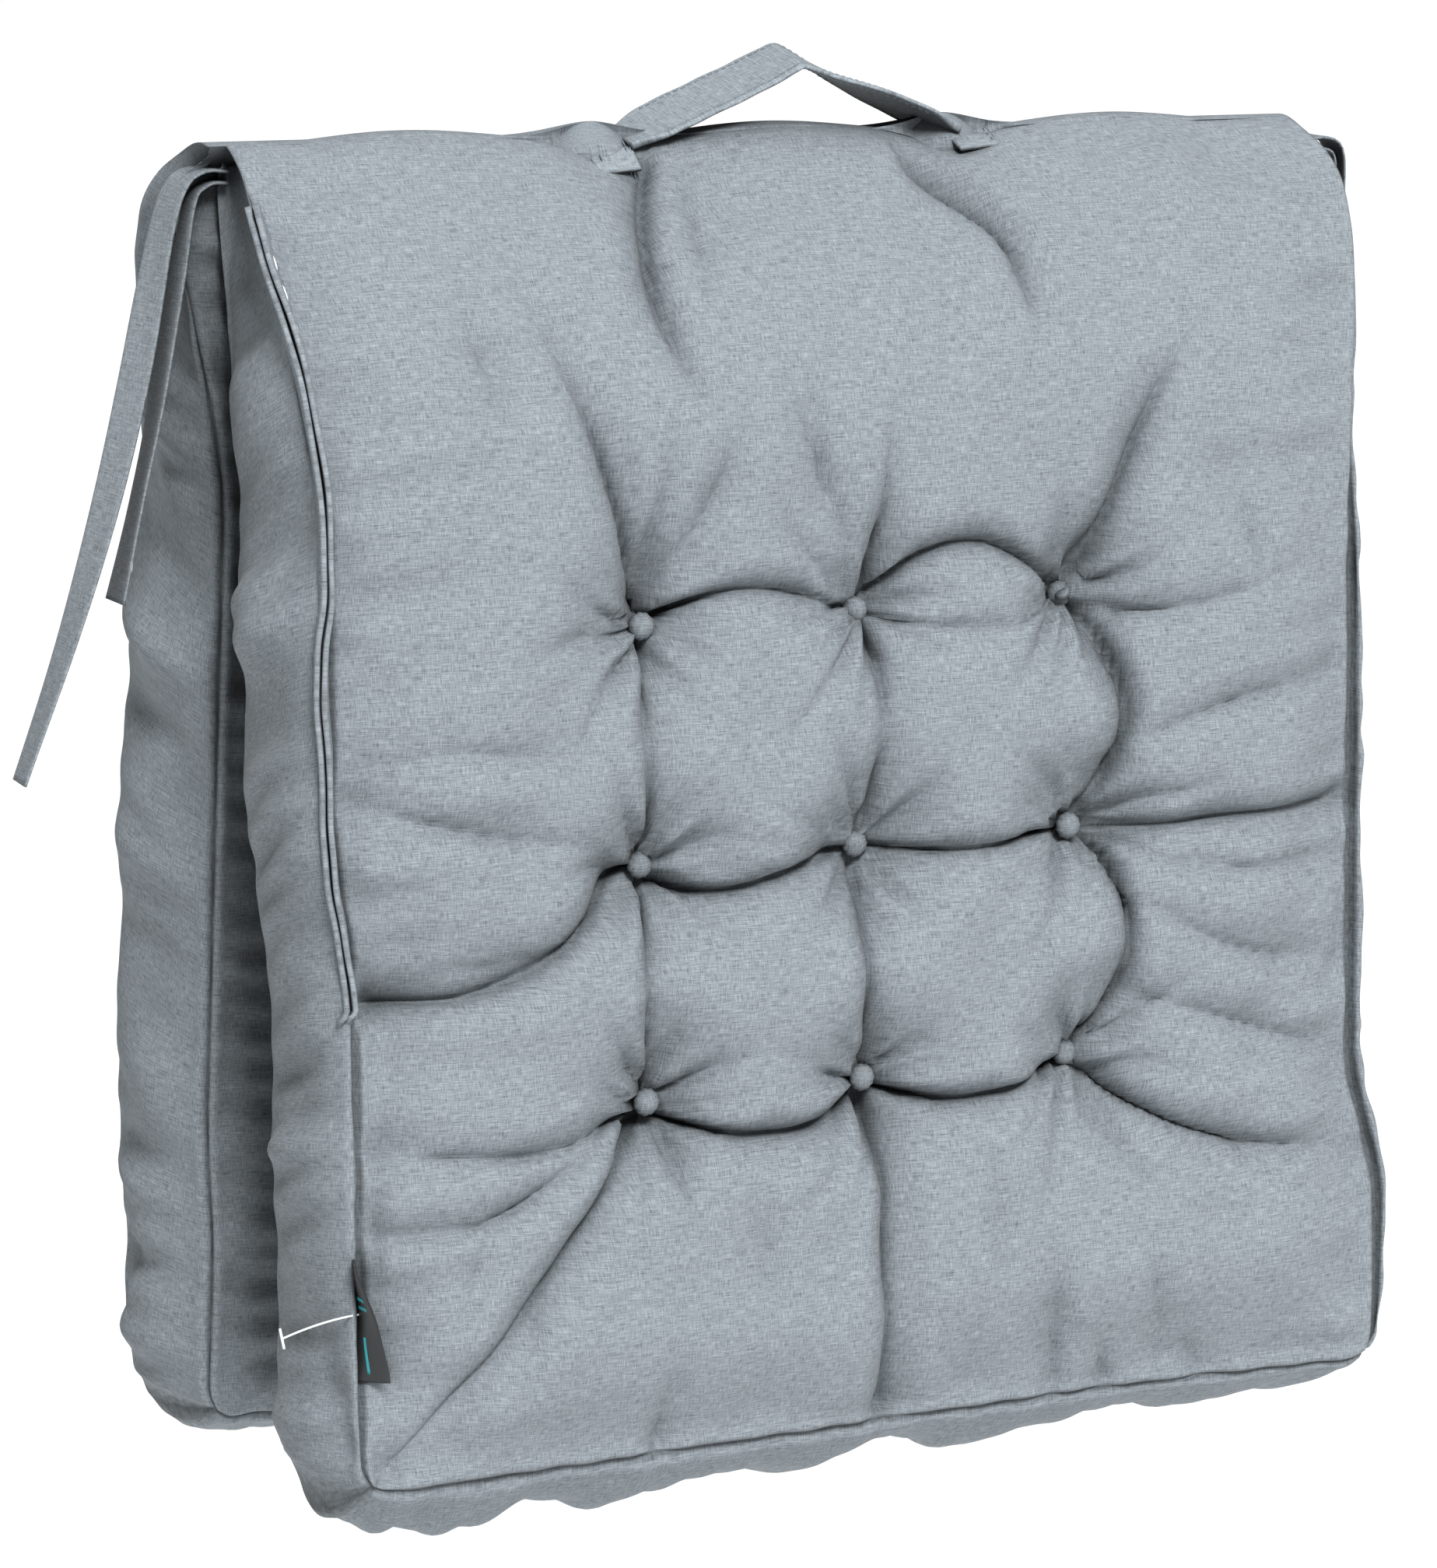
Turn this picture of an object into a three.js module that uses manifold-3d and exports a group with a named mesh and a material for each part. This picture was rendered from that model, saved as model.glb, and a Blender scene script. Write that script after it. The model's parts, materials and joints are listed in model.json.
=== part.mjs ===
// A folding chair pad: a seat half and a back half joined along a fold, hanging folded from its carry handle.
// Millimetres, +Z up. The origin is the point under the handle's peak where a hook holds the pad.
// The seat half faces -Y, the back half faces +Y, and the width runs along X.
import * as THREE from "three";
import { mergeVertices } from "three/addons/utils/BufferGeometryUtils.js";
import Module from "manifold-3d";

const wasm = await Module();
wasm.setup();

// Overall sizes
const padWidth = 462; // between the two side seams
const padDrop = 508; // fold to bottom seam, along one half
const boxingDepth = 70; // between the two seams of the gusset
const crown = 8; // how far the outer face swells past its seam
const sideBulge = 11; // how far the gusset swells past the side seams
const bottomBulge = 18; // how far it swells below the bottom seam
const halfOffset = -9; // the halves hang a little to one side of the handle
const splay = THREE.MathUtils.degToRad(3.1); // how far each half leans from the vertical

// Cloth and clearances
const cloth = 1.5;
const gap = 0.3; // between pieces that touch on the real pad

// Fold
const crestRise = 7; // top of the crest above the fold axis
const crestRadius = 26; // everything that stays with the crest is inside this distance of the axis
const crestSlope = 0.5; // fall of the crest's cloth away from the fold
const shoulderY = 14; // where the cloth turns steeper
const crestOverhang = 12; // the crest's cloth runs past the side seams at both ends
const innerOffset = 1.5; // from the fold plane to a half's inner face

// Tufts
const columns = 3;
const rows = 3;
const columnPitch = 96.5;
const rowPitch = 92;
const firstRow = 178; // from the fold axis
const faceDimple = { mouth: 28, floor: 8, depth: 14 };
const innerDimple = { mouth: 20, floor: 7.5, depth: 8 };
const dimpleSides = 8;
const twineRadius = 1;
const twineHole = 1.5;
const buttonRadius = 6;
const buttonHeight = 4;

// Handle
const handleSpan = 144; // between the two necks
const handleClearance = 25; // under the peak, above the crest
const strapWidth = 26;
const strapThickness = 2.5;
const neckHeight = 5; // of the neck's axis above the crest
const neckWidth = 9;
const neckTaper = 24; // length over which the strap gathers to its neck
const sewnLength = 17;

// Ties: each route runs outwards from the end of the fold seam, then down, as [outwards, up] points.
const tieWidth = 15;
const tieThickness = 1.6;
const tieTwist = THREE.MathUtils.degToRad(10); // the left ties swing a little towards the back half
const tieRoutes = {
  left_long_tie: [[0, -4], [10, -3.6], [18, -9], [24, -27], [34, -80], [45, -128], [60, -180], [78.5, -234]],
  left_short_tie: [[0, -8], [9, -8.6], [15.5, -16], [20, -46], [26, -92], [33, -127], [41.5, -166]],
  right_long_tie: [[0, -4], [11, -3], [19, -8], [21, -28], [22, -90], [23, -170], [22, -250]],
  right_short_tie: [[0, -8], [10, -7.6], [15.5, -12], [16.5, -32], [17, -100], [16.5, -176]],
};

// Side label and its tag pin
const labelAboveSeam = 32; // from its lower end to the bottom seam
const labelLength = 50;
const labelWidth = 16;
const labelThickness = 0.8;
const labelOffset = 1; // from the seam to the label, both ways
const pinReach = 34;
const pinRadius = 0.6;
const pinBar = 7;

// Closing flange on the seat half's left seam
const flangeStart = 34;
const flangeEnd = 324;
const flangeHeight = 6;
const flangeThickness = 3;

// Roundness of the body, and the sizes of hidden or small pieces
const cornerRadius = 24; // of the bottom corners, seen from the front
const faceRoll = 60; // width over which a face rolls down to its side seam
const crownFade = 50; // height over which the outer face falls to the bottom seam
const innerRoll = 25; // height over which the inner face turns in to the bottom
const seamTapeWidth = 3;
const seamTapeHeight = 6;
const cutMargin = 60; // cutting shapes reach this far past the body

const crestTop = -handleClearance;
const foldZ = crestTop - crestRise;
const outerDepth = innerOffset + boxingDepth + crown;
const seamDepth = innerOffset + boxingDepth;
const halfWidth = padWidth / 2;
const seamEnd = crestRise - padDrop; // height of the bottom seam, in a half's own frame
const labelX = -halfWidth - labelOffset;
const labelY = -seamDepth - labelOffset;
const labelMiddle = seamEnd + labelAboveSeam + labelLength / 2;

const yzx = new THREE.Matrix4().makeBasis(
  new THREE.Vector3(0, 1, 0),
  new THREE.Vector3(0, 0, 1),
  new THREE.Vector3(1, 0, 0)
);

const colours = {
  cloth: 0x98a5ad,
  filling: 0xf2f0ea,
  button: 0x8c9aa3,
  twine: 0xd8d8d2,
  label: 0x1d2023,
  pin: 0xe8ecec,
};

function addMesh(parent, name, geometry, kind) {
  const material = new THREE.MeshStandardMaterial({ color: colours[kind], roughness: 0.85, metalness: 0 });
  const mesh = new THREE.Mesh(geometry, material);
  mesh.name = name;
  parent.add(mesh);
  return mesh;
}

// Solids from three.js geometry, and back

function toSolid(geometry) {
  const bare = geometry.index ? geometry.toNonIndexed() : geometry.clone();
  bare.deleteAttribute("normal");
  bare.deleteAttribute("uv");
  const merged = mergeVertices(bare, 1e-4);
  return new wasm.Manifold(
    new wasm.Mesh({
      numProp: 3,
      vertProperties: new Float32Array(merged.attributes.position.array),
      triVerts: new Uint32Array(merged.index.array),
    })
  );
}

function toGeometry(solid) {
  const mesh = solid.getMesh();
  const geometry = new THREE.BufferGeometry();
  geometry.setAttribute("position", new THREE.BufferAttribute(new Float32Array(mesh.vertProperties), 3));
  geometry.setIndex(new THREE.BufferAttribute(new Uint32Array(mesh.triVerts), 1));
  return geometry;
}

function joinAll(solids) {
  return solids.reduce((whole, next) => whole.add(next));
}

// An outline is a list of [x, y] points, anticlockwise.
// Insetting it moves every corner inwards along its bisector.
function inset(outline, distance) {
  return outline.map((point, i) => {
    const before = outline[(i + outline.length - 1) % outline.length];
    const after = outline[(i + 1) % outline.length];
    const a = new THREE.Vector2(point[0] - before[0], point[1] - before[1]).normalize();
    const b = new THREE.Vector2(after[0] - point[0], after[1] - point[1]).normalize();
    const normal = new THREE.Vector2(-a.y - b.y, a.x + b.x);
    const scale = distance / (1 + a.dot(b));
    return [point[0] + normal.x * scale, point[1] + normal.y * scale];
  });
}

function shapeOf(outline) {
  return new THREE.Shape(outline.map(([x, y]) => new THREE.Vector2(x, y)));
}

// An outline in the YZ plane, run along X from one end to the other.
function alongX(outline, from, to) {
  const geometry = new THREE.ExtrudeGeometry(shapeOf(outline), { depth: to - from, bevelEnabled: false });
  geometry.translate(0, 0, from);
  return geometry.applyMatrix4(yzx);
}

// An outline in the XY plane, run along Z.
function alongZ(outline, from, to) {
  const geometry = new THREE.ExtrudeGeometry(shapeOf(outline), { depth: to - from, bevelEnabled: false });
  return geometry.translate(0, 0, from);
}

// An outline in the XZ plane, run along Y.
function alongY(outline, from, to) {
  const geometry = new THREE.ExtrudeGeometry(shapeOf(outline), { depth: to - from, bevelEnabled: false });
  geometry.translate(0, 0, -to);
  return geometry.rotateX(Math.PI / 2);
}

function block(x0, x1, y0, y1, z0, z1) {
  const geometry = new THREE.BoxGeometry(x1 - x0, y1 - y0, z1 - z0);
  return toSolid(geometry.translate((x0 + x1) / 2, (y0 + y1) / 2, (z0 + z1) / 2));
}

// One half, in its own frame: the fold axis is the X axis and the half hangs to -Z, its outer face to -Y.

// Side profile: the inner face is straight, the outer one falls from the fold over a round shoulder.
function profile() {
  const bottom = seamEnd - bottomBulge;
  return [
    [-innerOffset, -3],
    [-innerOffset, seamEnd + innerRoll],
    [-innerOffset - 0.1 * boxingDepth, seamEnd + innerRoll / 4],
    [-innerOffset - 0.3 * boxingDepth, bottom],
    [-innerOffset - 0.7 * boxingDepth, bottom],
    [-seamDepth, seamEnd],
    [-outerDepth, seamEnd + crownFade],
    [-outerDepth, -190],
    [-0.92 * outerDepth, -134],
    [-0.71 * outerDepth, -65],
    [-0.53 * outerDepth, -35],
    [-0.315 * outerDepth, -7.5],
    [-shoulderY, crestRise - crestSlope * shoulderY],
  ].reverse();
}

// Plan section: the gusset swells at the sides, and the outer face falls to its side seams.
function planSection() {
  const side = halfWidth + sideBulge;
  const right = [
    [halfWidth - faceRoll, -outerDepth - 1],
    [halfWidth, -seamDepth],
    [side, -innerOffset - 0.7 * boxingDepth],
    [side, -innerOffset - 0.3 * boxingDepth],
    [halfWidth, -innerOffset],
    [halfWidth - 1, innerOffset],
  ];
  const left = right.map(([x, y]) => [-x, y]).reverse();
  return [...right, ...left];
}

// Front view: square, with rounded bottom corners.
function frontOutline() {
  const side = halfWidth + sideBulge + 1;
  const bottom = seamEnd - bottomBulge - 1;
  const steps = 3;
  const points = [];
  for (let i = 0; i <= steps; i++) {
    const angle = (i / steps) * (Math.PI / 2);
    const across = side - cornerRadius * (1 - Math.sin(angle));
    points.push([across, bottom + cornerRadius * (1 - Math.cos(angle))]);
  }
  points.push([side, 20]);
  const mirrored = points.map(([x, z]) => [-x, z]).reverse();
  return [...points, ...mirrored];
}

// The pad's body, shrunk all round by a distance.
function pillow(distance) {
  const reach = halfWidth + sideBulge + 5;
  const side = toSolid(alongX(inset(profile(), distance), -reach, reach));
  const plan = toSolid(alongZ(inset(planSection(), distance), -padDrop - cutMargin, cutMargin));
  const front = toSolid(alongY(inset(frontOutline(), distance), -outerDepth - 5, 10));
  return side.intersect(plan).intersect(front);
}

// A cylinder about the fold axis, kept free for the crest.
function foldSpace(radius) {
  const geometry = new THREE.CylinderGeometry(radius, radius, padWidth + cutMargin, 24);
  return toSolid(geometry.rotateZ(Math.PI / 2));
}

function tuftPlaces() {
  const places = [];
  for (let row = 0; row < rows; row++) {
    for (let column = 0; column < columns; column++) {
      places.push([(column - (columns - 1) / 2) * columnPitch, -(firstRow + row * rowPitch)]);
    }
  }
  return places;
}

// A cone-shaped hollow from a face inwards. inwards is 1 towards +Y and -1 towards -Y.
function dimple(shape, faceY, inwards, grow, x, z) {
  const overshoot = 2;
  const slope = (shape.mouth - shape.floor) / shape.depth;
  const depth = shape.depth + grow;
  const floor = shape.floor + grow / 2;
  const mouth = floor + slope * (depth + overshoot);
  const [top, bottom] = inwards > 0 ? [floor, mouth] : [mouth, floor];
  const cone = new THREE.CylinderGeometry(top, bottom, depth + overshoot, dimpleSides);
  cone.rotateY(Math.PI / dimpleSides);
  return toSolid(cone.translate(x, faceY + (inwards * (depth - overshoot)) / 2, z));
}

function allDimples(grow) {
  return joinAll(
    tuftPlaces().flatMap(([x, z]) => [
      dimple(faceDimple, -outerDepth, 1, grow, x, z),
      dimple(innerDimple, -innerOffset, -1, grow, x, z),
    ])
  );
}

function twineHoles() {
  return joinAll(
    tuftPlaces().map(([x, z]) => {
      const geometry = new THREE.CylinderGeometry(twineHole, twineHole, outerDepth + 20, 5);
      return toSolid(geometry.translate(0, -outerDepth / 2, 0).translate(x, 0, z));
    })
  );
}

// What belongs to the outer face. Its edge leaves the fold just inside the outer cloth, then runs mid-depth.
function outerRegion() {
  const nearFold = -0.7 * crestRadius;
  const middle = -seamDepth / 2;
  const beyond = -outerDepth - cutMargin;
  const below = -padDrop - cutMargin;
  const split = [[nearFold, cutMargin], [nearFold, nearFold], [middle, 6 * nearFold], [middle, below]];
  return [...split, [beyond, below], [beyond, cutMargin]];
}

function buildHalf(parent, name) {
  const holes = twineHoles();
  const space = foldSpace(crestRadius + gap);
  const outside = pillow(0).subtract(allDimples(0));
  const inside = pillow(cloth).subtract(allDimples(cloth));
  const shell = outside.subtract(inside).subtract(space).subtract(holes);
  const far = halfWidth + cutMargin;
  const [front, behind] = [-outerDepth - cutMargin, cutMargin];
  const middle = block(-halfWidth, halfWidth, front, behind, seamEnd, cutMargin);
  const panels = block(-halfWidth + gap, halfWidth - gap, front, behind, seamEnd + gap, cutMargin);
  const outerSide = toSolid(alongX(outerRegion(), -far, far));
  addMesh(parent, `${name}_outer_panel`, toGeometry(shell.intersect(panels).intersect(outerSide)), "cloth");
  addMesh(parent, `${name}_inner_panel`, toGeometry(shell.intersect(panels).subtract(outerSide)), "cloth");
  addMesh(parent, `${name}_boxing`, toGeometry(shell.subtract(middle)), "cloth");
  const wool = pillow(cloth + gap).subtract(allDimples(cloth + gap)).subtract(holes);
  addMesh(parent, `${name}_filling`, toGeometry(wool.subtract(foldSpace(crestRadius + 2 * gap))), "filling");
  tuftPlaces().forEach(([x, z], i) => {
    addMesh(parent, `${name}_button_${i + 1}`, buttonGeometry(x, z), "button");
    addMesh(parent, `${name}_tuft_${i + 1}`, tuftGeometry(x, z), "twine");
  });
}

// A covered button: a domed disc turned about the Y axis, its dome towards +Y.
function domedDisc() {
  const points = [
    [0, 0],
    [0.9 * buttonRadius, 0],
    [buttonRadius, 0.3 * buttonHeight],
    [0.75 * buttonRadius, 0.8 * buttonHeight],
    [0, buttonHeight],
  ].map(([r, h]) => new THREE.Vector2(r, h));
  return new THREE.LatheGeometry(points, 8);
}

function buttonGeometry(x, z) {
  const floorY = -outerDepth + faceDimple.depth;
  return domedDisc().rotateX(Math.PI).translate(x, floorY - gap, z);
}

// The button on the inner face, with the twine that ties it to the one on the outer face.
function tuftGeometry(x, z) {
  const buttonY = -innerOffset - innerDimple.depth + gap;
  const twineEnd = -outerDepth + faceDimple.depth;
  const intoButton = 1;
  const length = buttonY + intoButton - twineEnd;
  const twine = new THREE.CylinderGeometry(twineRadius, twineRadius, length, 5);
  twine.translate(x, twineEnd + length / 2, z);
  const disc = domedDisc().translate(x, buttonY, z);
  return toGeometry(toSolid(disc).add(toSolid(twine)));
}

// The closing flange: two turned-in edges stitched together, standing off the seat half's left seam.
function flangeGeometry() {
  const left = -halfWidth - flangeThickness / 2;
  const right = -halfWidth + flangeThickness / 2;
  const raised = toSolid(alongX(inset(profile(), -flangeHeight), left, right));
  const length = block(left - 1, right + 1, -seamDepth - flangeHeight, -20, -flangeEnd, -flangeStart);
  return toGeometry(raised.intersect(length).subtract(pillow(-gap)));
}

// The folded side label stands off the left seam.
function labelGeometry() {
  const plate = new THREE.BoxGeometry(labelThickness, labelWidth, labelLength);
  return plate.translate(labelX, labelY - labelWidth / 2, labelMiddle);
}

// The nylon pin that holds a price tag: a thread with a bar at its end.
function pinGeometry() {
  const start = labelX - labelThickness / 2 - gap;
  const thread = new THREE.CylinderGeometry(pinRadius, pinRadius, pinReach, 6).rotateZ(Math.PI / 2);
  thread.translate(start - pinReach / 2, labelY - labelWidth / 2, labelMiddle);
  const bar = new THREE.CylinderGeometry(pinRadius, pinRadius, pinBar, 6).rotateX(Math.PI / 2);
  bar.translate(start - pinReach, labelY - labelWidth / 2, labelMiddle);
  return toGeometry(toSolid(thread).add(toSolid(bar)));
}

// The crest, in a frame whose X axis is the fold axis. These pieces stay inside the crest's own radius.

// The cloth over the fold, from the edge on the +Y side to its top, lowered by a distance.
function crestSide(drop) {
  return [
    [0.9 * crestRadius, -0.26 * crestRadius - drop],
    [shoulderY, crestRise - crestSlope * shoulderY - drop],
    [0, crestRise - drop],
  ];
}

// The same line carried on to the -Y side.
function acrossFold(side) {
  const mirrored = side.slice(0, -1).map(([y, z]) => [-y, z]);
  return [...side, ...mirrored.reverse()];
}

function buildCrest(parent) {
  const end = halfWidth + crestOverhang;
  const fabric = [...acrossFold(crestSide(0)), ...acrossFold(crestSide(cloth)).reverse()];
  addMesh(parent, "fold_crest", alongX(fabric, -end, end), "cloth");
  const face = acrossFold(crestSide(cloth + gap)).map(([y, z]) => [0.88 * y, z]);
  const flank = [0.5 * crestRadius, -0.36 * crestRadius];
  const belly = [[-flank[0], flank[1]], [0, -1], flank];
  addMesh(parent, "fold_filling", alongX([...face, ...belly], 2 - end, end - 2), "filling");
  const seam = new THREE.BoxGeometry(2 * end, seamTapeWidth, seamTapeHeight);
  addMesh(parent, "fold_seam", seam.translate(0, 0, -2 - gap - seamTapeHeight / 2), "cloth");
  for (const [name, side] of [["handle_end_left", -1], ["handle_end_right", 1]]) {
    addMesh(parent, name, sewnEndGeometry(side), "cloth");
  }
  const tieStart = end + gap + (tieWidth / 2) * Math.sin(tieTwist);
  for (const [name, route] of Object.entries(tieRoutes)) {
    addMesh(parent, name, tieGeometry(route, name.startsWith("left"), tieStart), "cloth");
  }
}

// A sewn-down end of the handle, lying over the crest just outside its neck.
function sewnEndGeometry(side) {
  const edge = strapWidth / 2;
  const at = (y, up) => [y, crestRise - crestSlope * Math.abs(y) + up];
  const low = [at(edge, gap), at(0, gap), at(-edge, gap)];
  const high = [at(-edge, gap + strapThickness), at(0, gap + strapThickness), at(edge, gap + strapThickness)];
  const near = handleSpan / 2 + 2;
  const [from, to] = side > 0 ? [near, near + sewnLength] : [-near - sewnLength, -near];
  return alongX([...low, ...high].reverse(), from, to);
}

// A flat strip of a given thickness along a route.
function stripOutline(route, thickness) {
  const sides = [1, -1].map((sign) =>
    route.map((point, i) => {
      const before = route[Math.max(i - 1, 0)];
      const after = route[Math.min(i + 1, route.length - 1)];
      const along = new THREE.Vector2(after[0] - before[0], after[1] - before[1]).normalize();
      return [point[0] - (along.y * sign * thickness) / 2, point[1] + (along.x * sign * thickness) / 2];
    })
  );
  return [...sides[0], ...sides[1].reverse()];
}

// A tie is a flat tape: its route lies in an upright plane and its width runs across that plane.
function tieGeometry(route, isLeft, start) {
  const spline = new THREE.SplineCurve(route.map(([u, v]) => new THREE.Vector2(u, v)));
  const smooth = spline.getPoints(20).map((point) => [point.x, point.y]);
  const tape = alongY(stripOutline(smooth, tieThickness), -tieWidth / 2, tieWidth / 2);
  return tape.rotateZ(isLeft ? Math.PI - tieTwist : 0).translate(isLeft ? -start : start, 0, 0);
}

// The handle, in the pad's own frame: a strap bent to a peak, gathered at its necks.
function handleGeometry() {
  const neckX = handleSpan / 2;
  const neckZ = crestTop + neckHeight;
  const middle = strapThickness / 2;
  const leg = [[neckX, neckZ], [neckX / 2, neckZ / 2 + middle], [6, middle - 1]];
  const route = [...leg.map(([x, z]) => [-x, z]), [0, middle], ...leg.slice().reverse()];
  const bent = toSolid(alongY(stripOutline(route, strapThickness), -strapWidth / 2, strapWidth / 2));
  const wide = neckX - neckTaper;
  const quarter = [[neckX + 5, neckWidth / 2], [neckX, neckWidth / 2], [wide, strapWidth / 2]];
  const front = [...quarter.map(([x, y]) => [-x, -y]), ...quarter.slice().reverse().map(([x, y]) => [x, -y])];
  const back = front.map(([x, y]) => [-x, -y]);
  return toGeometry(bent.intersect(toSolid(alongZ([...front, ...back], neckZ - 20, 20))));
}

// Assembly

const crest = new THREE.Group();
crest.position.z = foldZ;
buildCrest(crest);

const seatHalf = new THREE.Group();
seatHalf.position.set(halfOffset, 0, foldZ);
seatHalf.rotation.x = -splay;
buildHalf(seatHalf, "seat");
addMesh(seatHalf, "closing_flange", flangeGeometry(), "cloth");
addMesh(seatHalf, "side_label", labelGeometry(), "label");
addMesh(seatHalf, "tag_pin", pinGeometry(), "pin");

const backHalf = new THREE.Group();
backHalf.rotation.x = -splay;
buildHalf(backHalf, "back");
const backTurn = new THREE.Group();
backTurn.position.set(halfOffset, 0, foldZ);
backTurn.rotation.z = Math.PI;
backTurn.add(backHalf);

const pad = new THREE.Group();
addMesh(pad, "carry_handle", handleGeometry(), "cloth");
pad.add(crest, seatHalf, backTurn);

export default pad;
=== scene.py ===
# A folded, tufted chair pad hanging from its carry handle: covers, buttons, flange, label, handle and ties.
# Shapes are worked out in millimetres and go into the meshes in metres.
import json
import math
import bmesh
import bpy
import numpy as np
from mathutils import Matrix, Vector


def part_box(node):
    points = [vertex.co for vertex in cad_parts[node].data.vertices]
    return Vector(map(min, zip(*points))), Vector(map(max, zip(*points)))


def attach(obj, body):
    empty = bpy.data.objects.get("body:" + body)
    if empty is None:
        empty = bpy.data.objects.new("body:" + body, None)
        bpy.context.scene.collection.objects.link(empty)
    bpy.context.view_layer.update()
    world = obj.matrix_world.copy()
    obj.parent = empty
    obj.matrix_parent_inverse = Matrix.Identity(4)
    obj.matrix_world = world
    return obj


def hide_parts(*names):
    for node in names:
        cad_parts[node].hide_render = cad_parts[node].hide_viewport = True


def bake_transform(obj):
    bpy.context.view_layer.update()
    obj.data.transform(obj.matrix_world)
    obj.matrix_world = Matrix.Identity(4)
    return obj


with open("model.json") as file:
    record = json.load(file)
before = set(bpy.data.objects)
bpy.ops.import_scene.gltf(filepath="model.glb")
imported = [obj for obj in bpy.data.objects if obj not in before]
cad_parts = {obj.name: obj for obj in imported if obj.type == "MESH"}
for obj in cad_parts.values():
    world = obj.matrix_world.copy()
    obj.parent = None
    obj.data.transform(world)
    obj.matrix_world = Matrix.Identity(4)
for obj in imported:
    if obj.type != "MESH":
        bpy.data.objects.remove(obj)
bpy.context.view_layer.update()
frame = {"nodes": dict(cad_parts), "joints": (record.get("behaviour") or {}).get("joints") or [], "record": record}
mm = 0.001
jointOf = {joint["name"]: joint for joint in frame["joints"]}
mountOf = {mount["name"]: mount for mount in frame["record"]["mounts"]}

# Camera: it looks from the front left, a little from above, and is rolled a touch.
view = {"azimuth": 30.0, "rise": 10.75, "roll": 1.125, "distance": 2.449, "lens": 139.57,
        "aim": (-0.0172, 0.0141, -0.290)}


def makeCamera():
    azimuth, rise, roll = (math.radians(view[key]) for key in ("azimuth", "rise", "roll"))
    level = math.cos(rise)
    back = Vector((-math.sin(azimuth) * level, -math.cos(azimuth) * level, math.sin(rise)))
    right = Vector((0, 0, 1)).cross(back).normalized()
    up = back.cross(right)
    rolledRight = right * math.cos(roll) + up * math.sin(roll)
    rolledUp = up * math.cos(roll) - right * math.sin(roll)
    data = bpy.data.cameras.new("camera")
    data.lens = view["lens"]
    data.sensor_width = 36
    camera = bpy.data.objects.new("camera", data)
    turn = Matrix((rolledRight, rolledUp, back)).transposed().to_4x4()
    camera.matrix_world = Matrix.Translation(Vector(view["aim"]) + back * view["distance"]) @ turn
    bpy.context.scene.collection.objects.link(camera)
    bpy.context.scene.camera = camera


def ease(t):  # smooth step from 0 to 1
    t = np.clip(t, 0, 1)
    return t * t * (3 - 2 * t)


def evenly(line, count):  # count points at even steps along a line of points
    along = np.concatenate([[0], np.cumsum(np.linalg.norm(np.diff(line, axis=0), axis=1))])
    where = np.linspace(0, along[-1], count)
    return np.stack([np.interp(where, along, column) for column in line.T], axis=1)


def curveThrough(points, count):
    # Catmull-Rom: on each stretch a cubic whose slope at a point is half the step between its neighbours.
    points = np.asarray(points, float)
    ends = np.vstack([2 * points[0] - points[1], points, 2 * points[-1] - points[-2]])
    p0, p1, p2, p3 = ends[:-3], ends[1:-2], ends[2:-1], ends[3:]
    t = np.linspace(0, 1, 24, endpoint=False)[:, None, None]
    square = (2 * p0 - 5 * p1 + 4 * p2 - p3) * t**2
    cubic = (3 * p1 - p0 - 3 * p2 + p3) * t**3
    curve = 0.5 * (2 * p1 + (p2 - p0) * t + square + cubic)
    flat = curve.transpose(1, 0, 2).reshape(-1, points.shape[1])
    return evenly(np.vstack([flat, points[-1]]), count)


def lengthOf(line):
    return float(np.linalg.norm(np.diff(line, axis=0), axis=1).sum())


def unit(vectors):
    return vectors / np.maximum(np.linalg.norm(vectors, axis=-1, keepdims=True), 1e-12)


def facesOut(mesh):
    shape = bmesh.new()
    shape.from_mesh(mesh)
    bmesh.ops.recalc_face_normals(shape, faces=shape.faces)
    shape.to_mesh(mesh)
    shape.free()
    mesh.update()


def makePiece(name, points, faces, material, body=None):
    mesh = bpy.data.meshes.new(name)
    mesh.from_pydata((np.asarray(points) * mm).tolist(), [], faces)
    facesOut(mesh)
    mesh.shade_smooth()
    mesh.materials.append(material)
    piece = bpy.data.objects.new(name, mesh)
    bpy.context.scene.collection.objects.link(piece)
    if body:
        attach(piece, body)
    return piece


def putUv(mesh, perVertex):  # the weave's coordinates, in metres of cloth
    corners = np.zeros(len(mesh.loops), np.int32)
    mesh.loops.foreach_get("vertex_index", corners)
    layer = mesh.uv_layers.new(name="weave")
    layer.data.foreach_set("uv", (perVertex[corners] * mm).astype(np.float32).ravel())


def tubeFaces(rings, sides, start=0):  # quads between closed rings, and two end faces
    ring, side = np.meshgrid(np.arange(rings - 1), np.arange(sides), indexing="ij")
    after = (side + 1) % sides
    quads = np.stack([ring * sides + side, ring * sides + after, (ring + 1) * sides + after,
                      (ring + 1) * sides + side], axis=-1).reshape(-1, 4) + start
    ends = [list(range(start + sides - 1, start - 1, -1)),
            list(range(start + (rings - 1) * sides, start + rings * sides))]
    return quads.tolist() + ends


def carried(path, widthWay, section, widths=None, thick=None):
    # A section [across, through] carried along a path: each ring is the path's point, plus across times the
    # width's direction, plus through times the direction square to both. widths and thick scale the two.
    along = unit(np.gradient(path, axis=0))
    across = unit(widthWay - along * (widthWay * along).sum(1, keepdims=True))
    through = np.cross(across, along)
    widths = np.ones(len(path)) if widths is None else widths
    thick = np.ones(len(path)) if thick is None else thick
    rings = (path[:, None] + (section[:, 0] * widths[:, None])[..., None] * across[:, None]
             + (section[:, 1] * thick[:, None])[..., None] * through[:, None])
    return rings.reshape(-1, 3)


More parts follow.
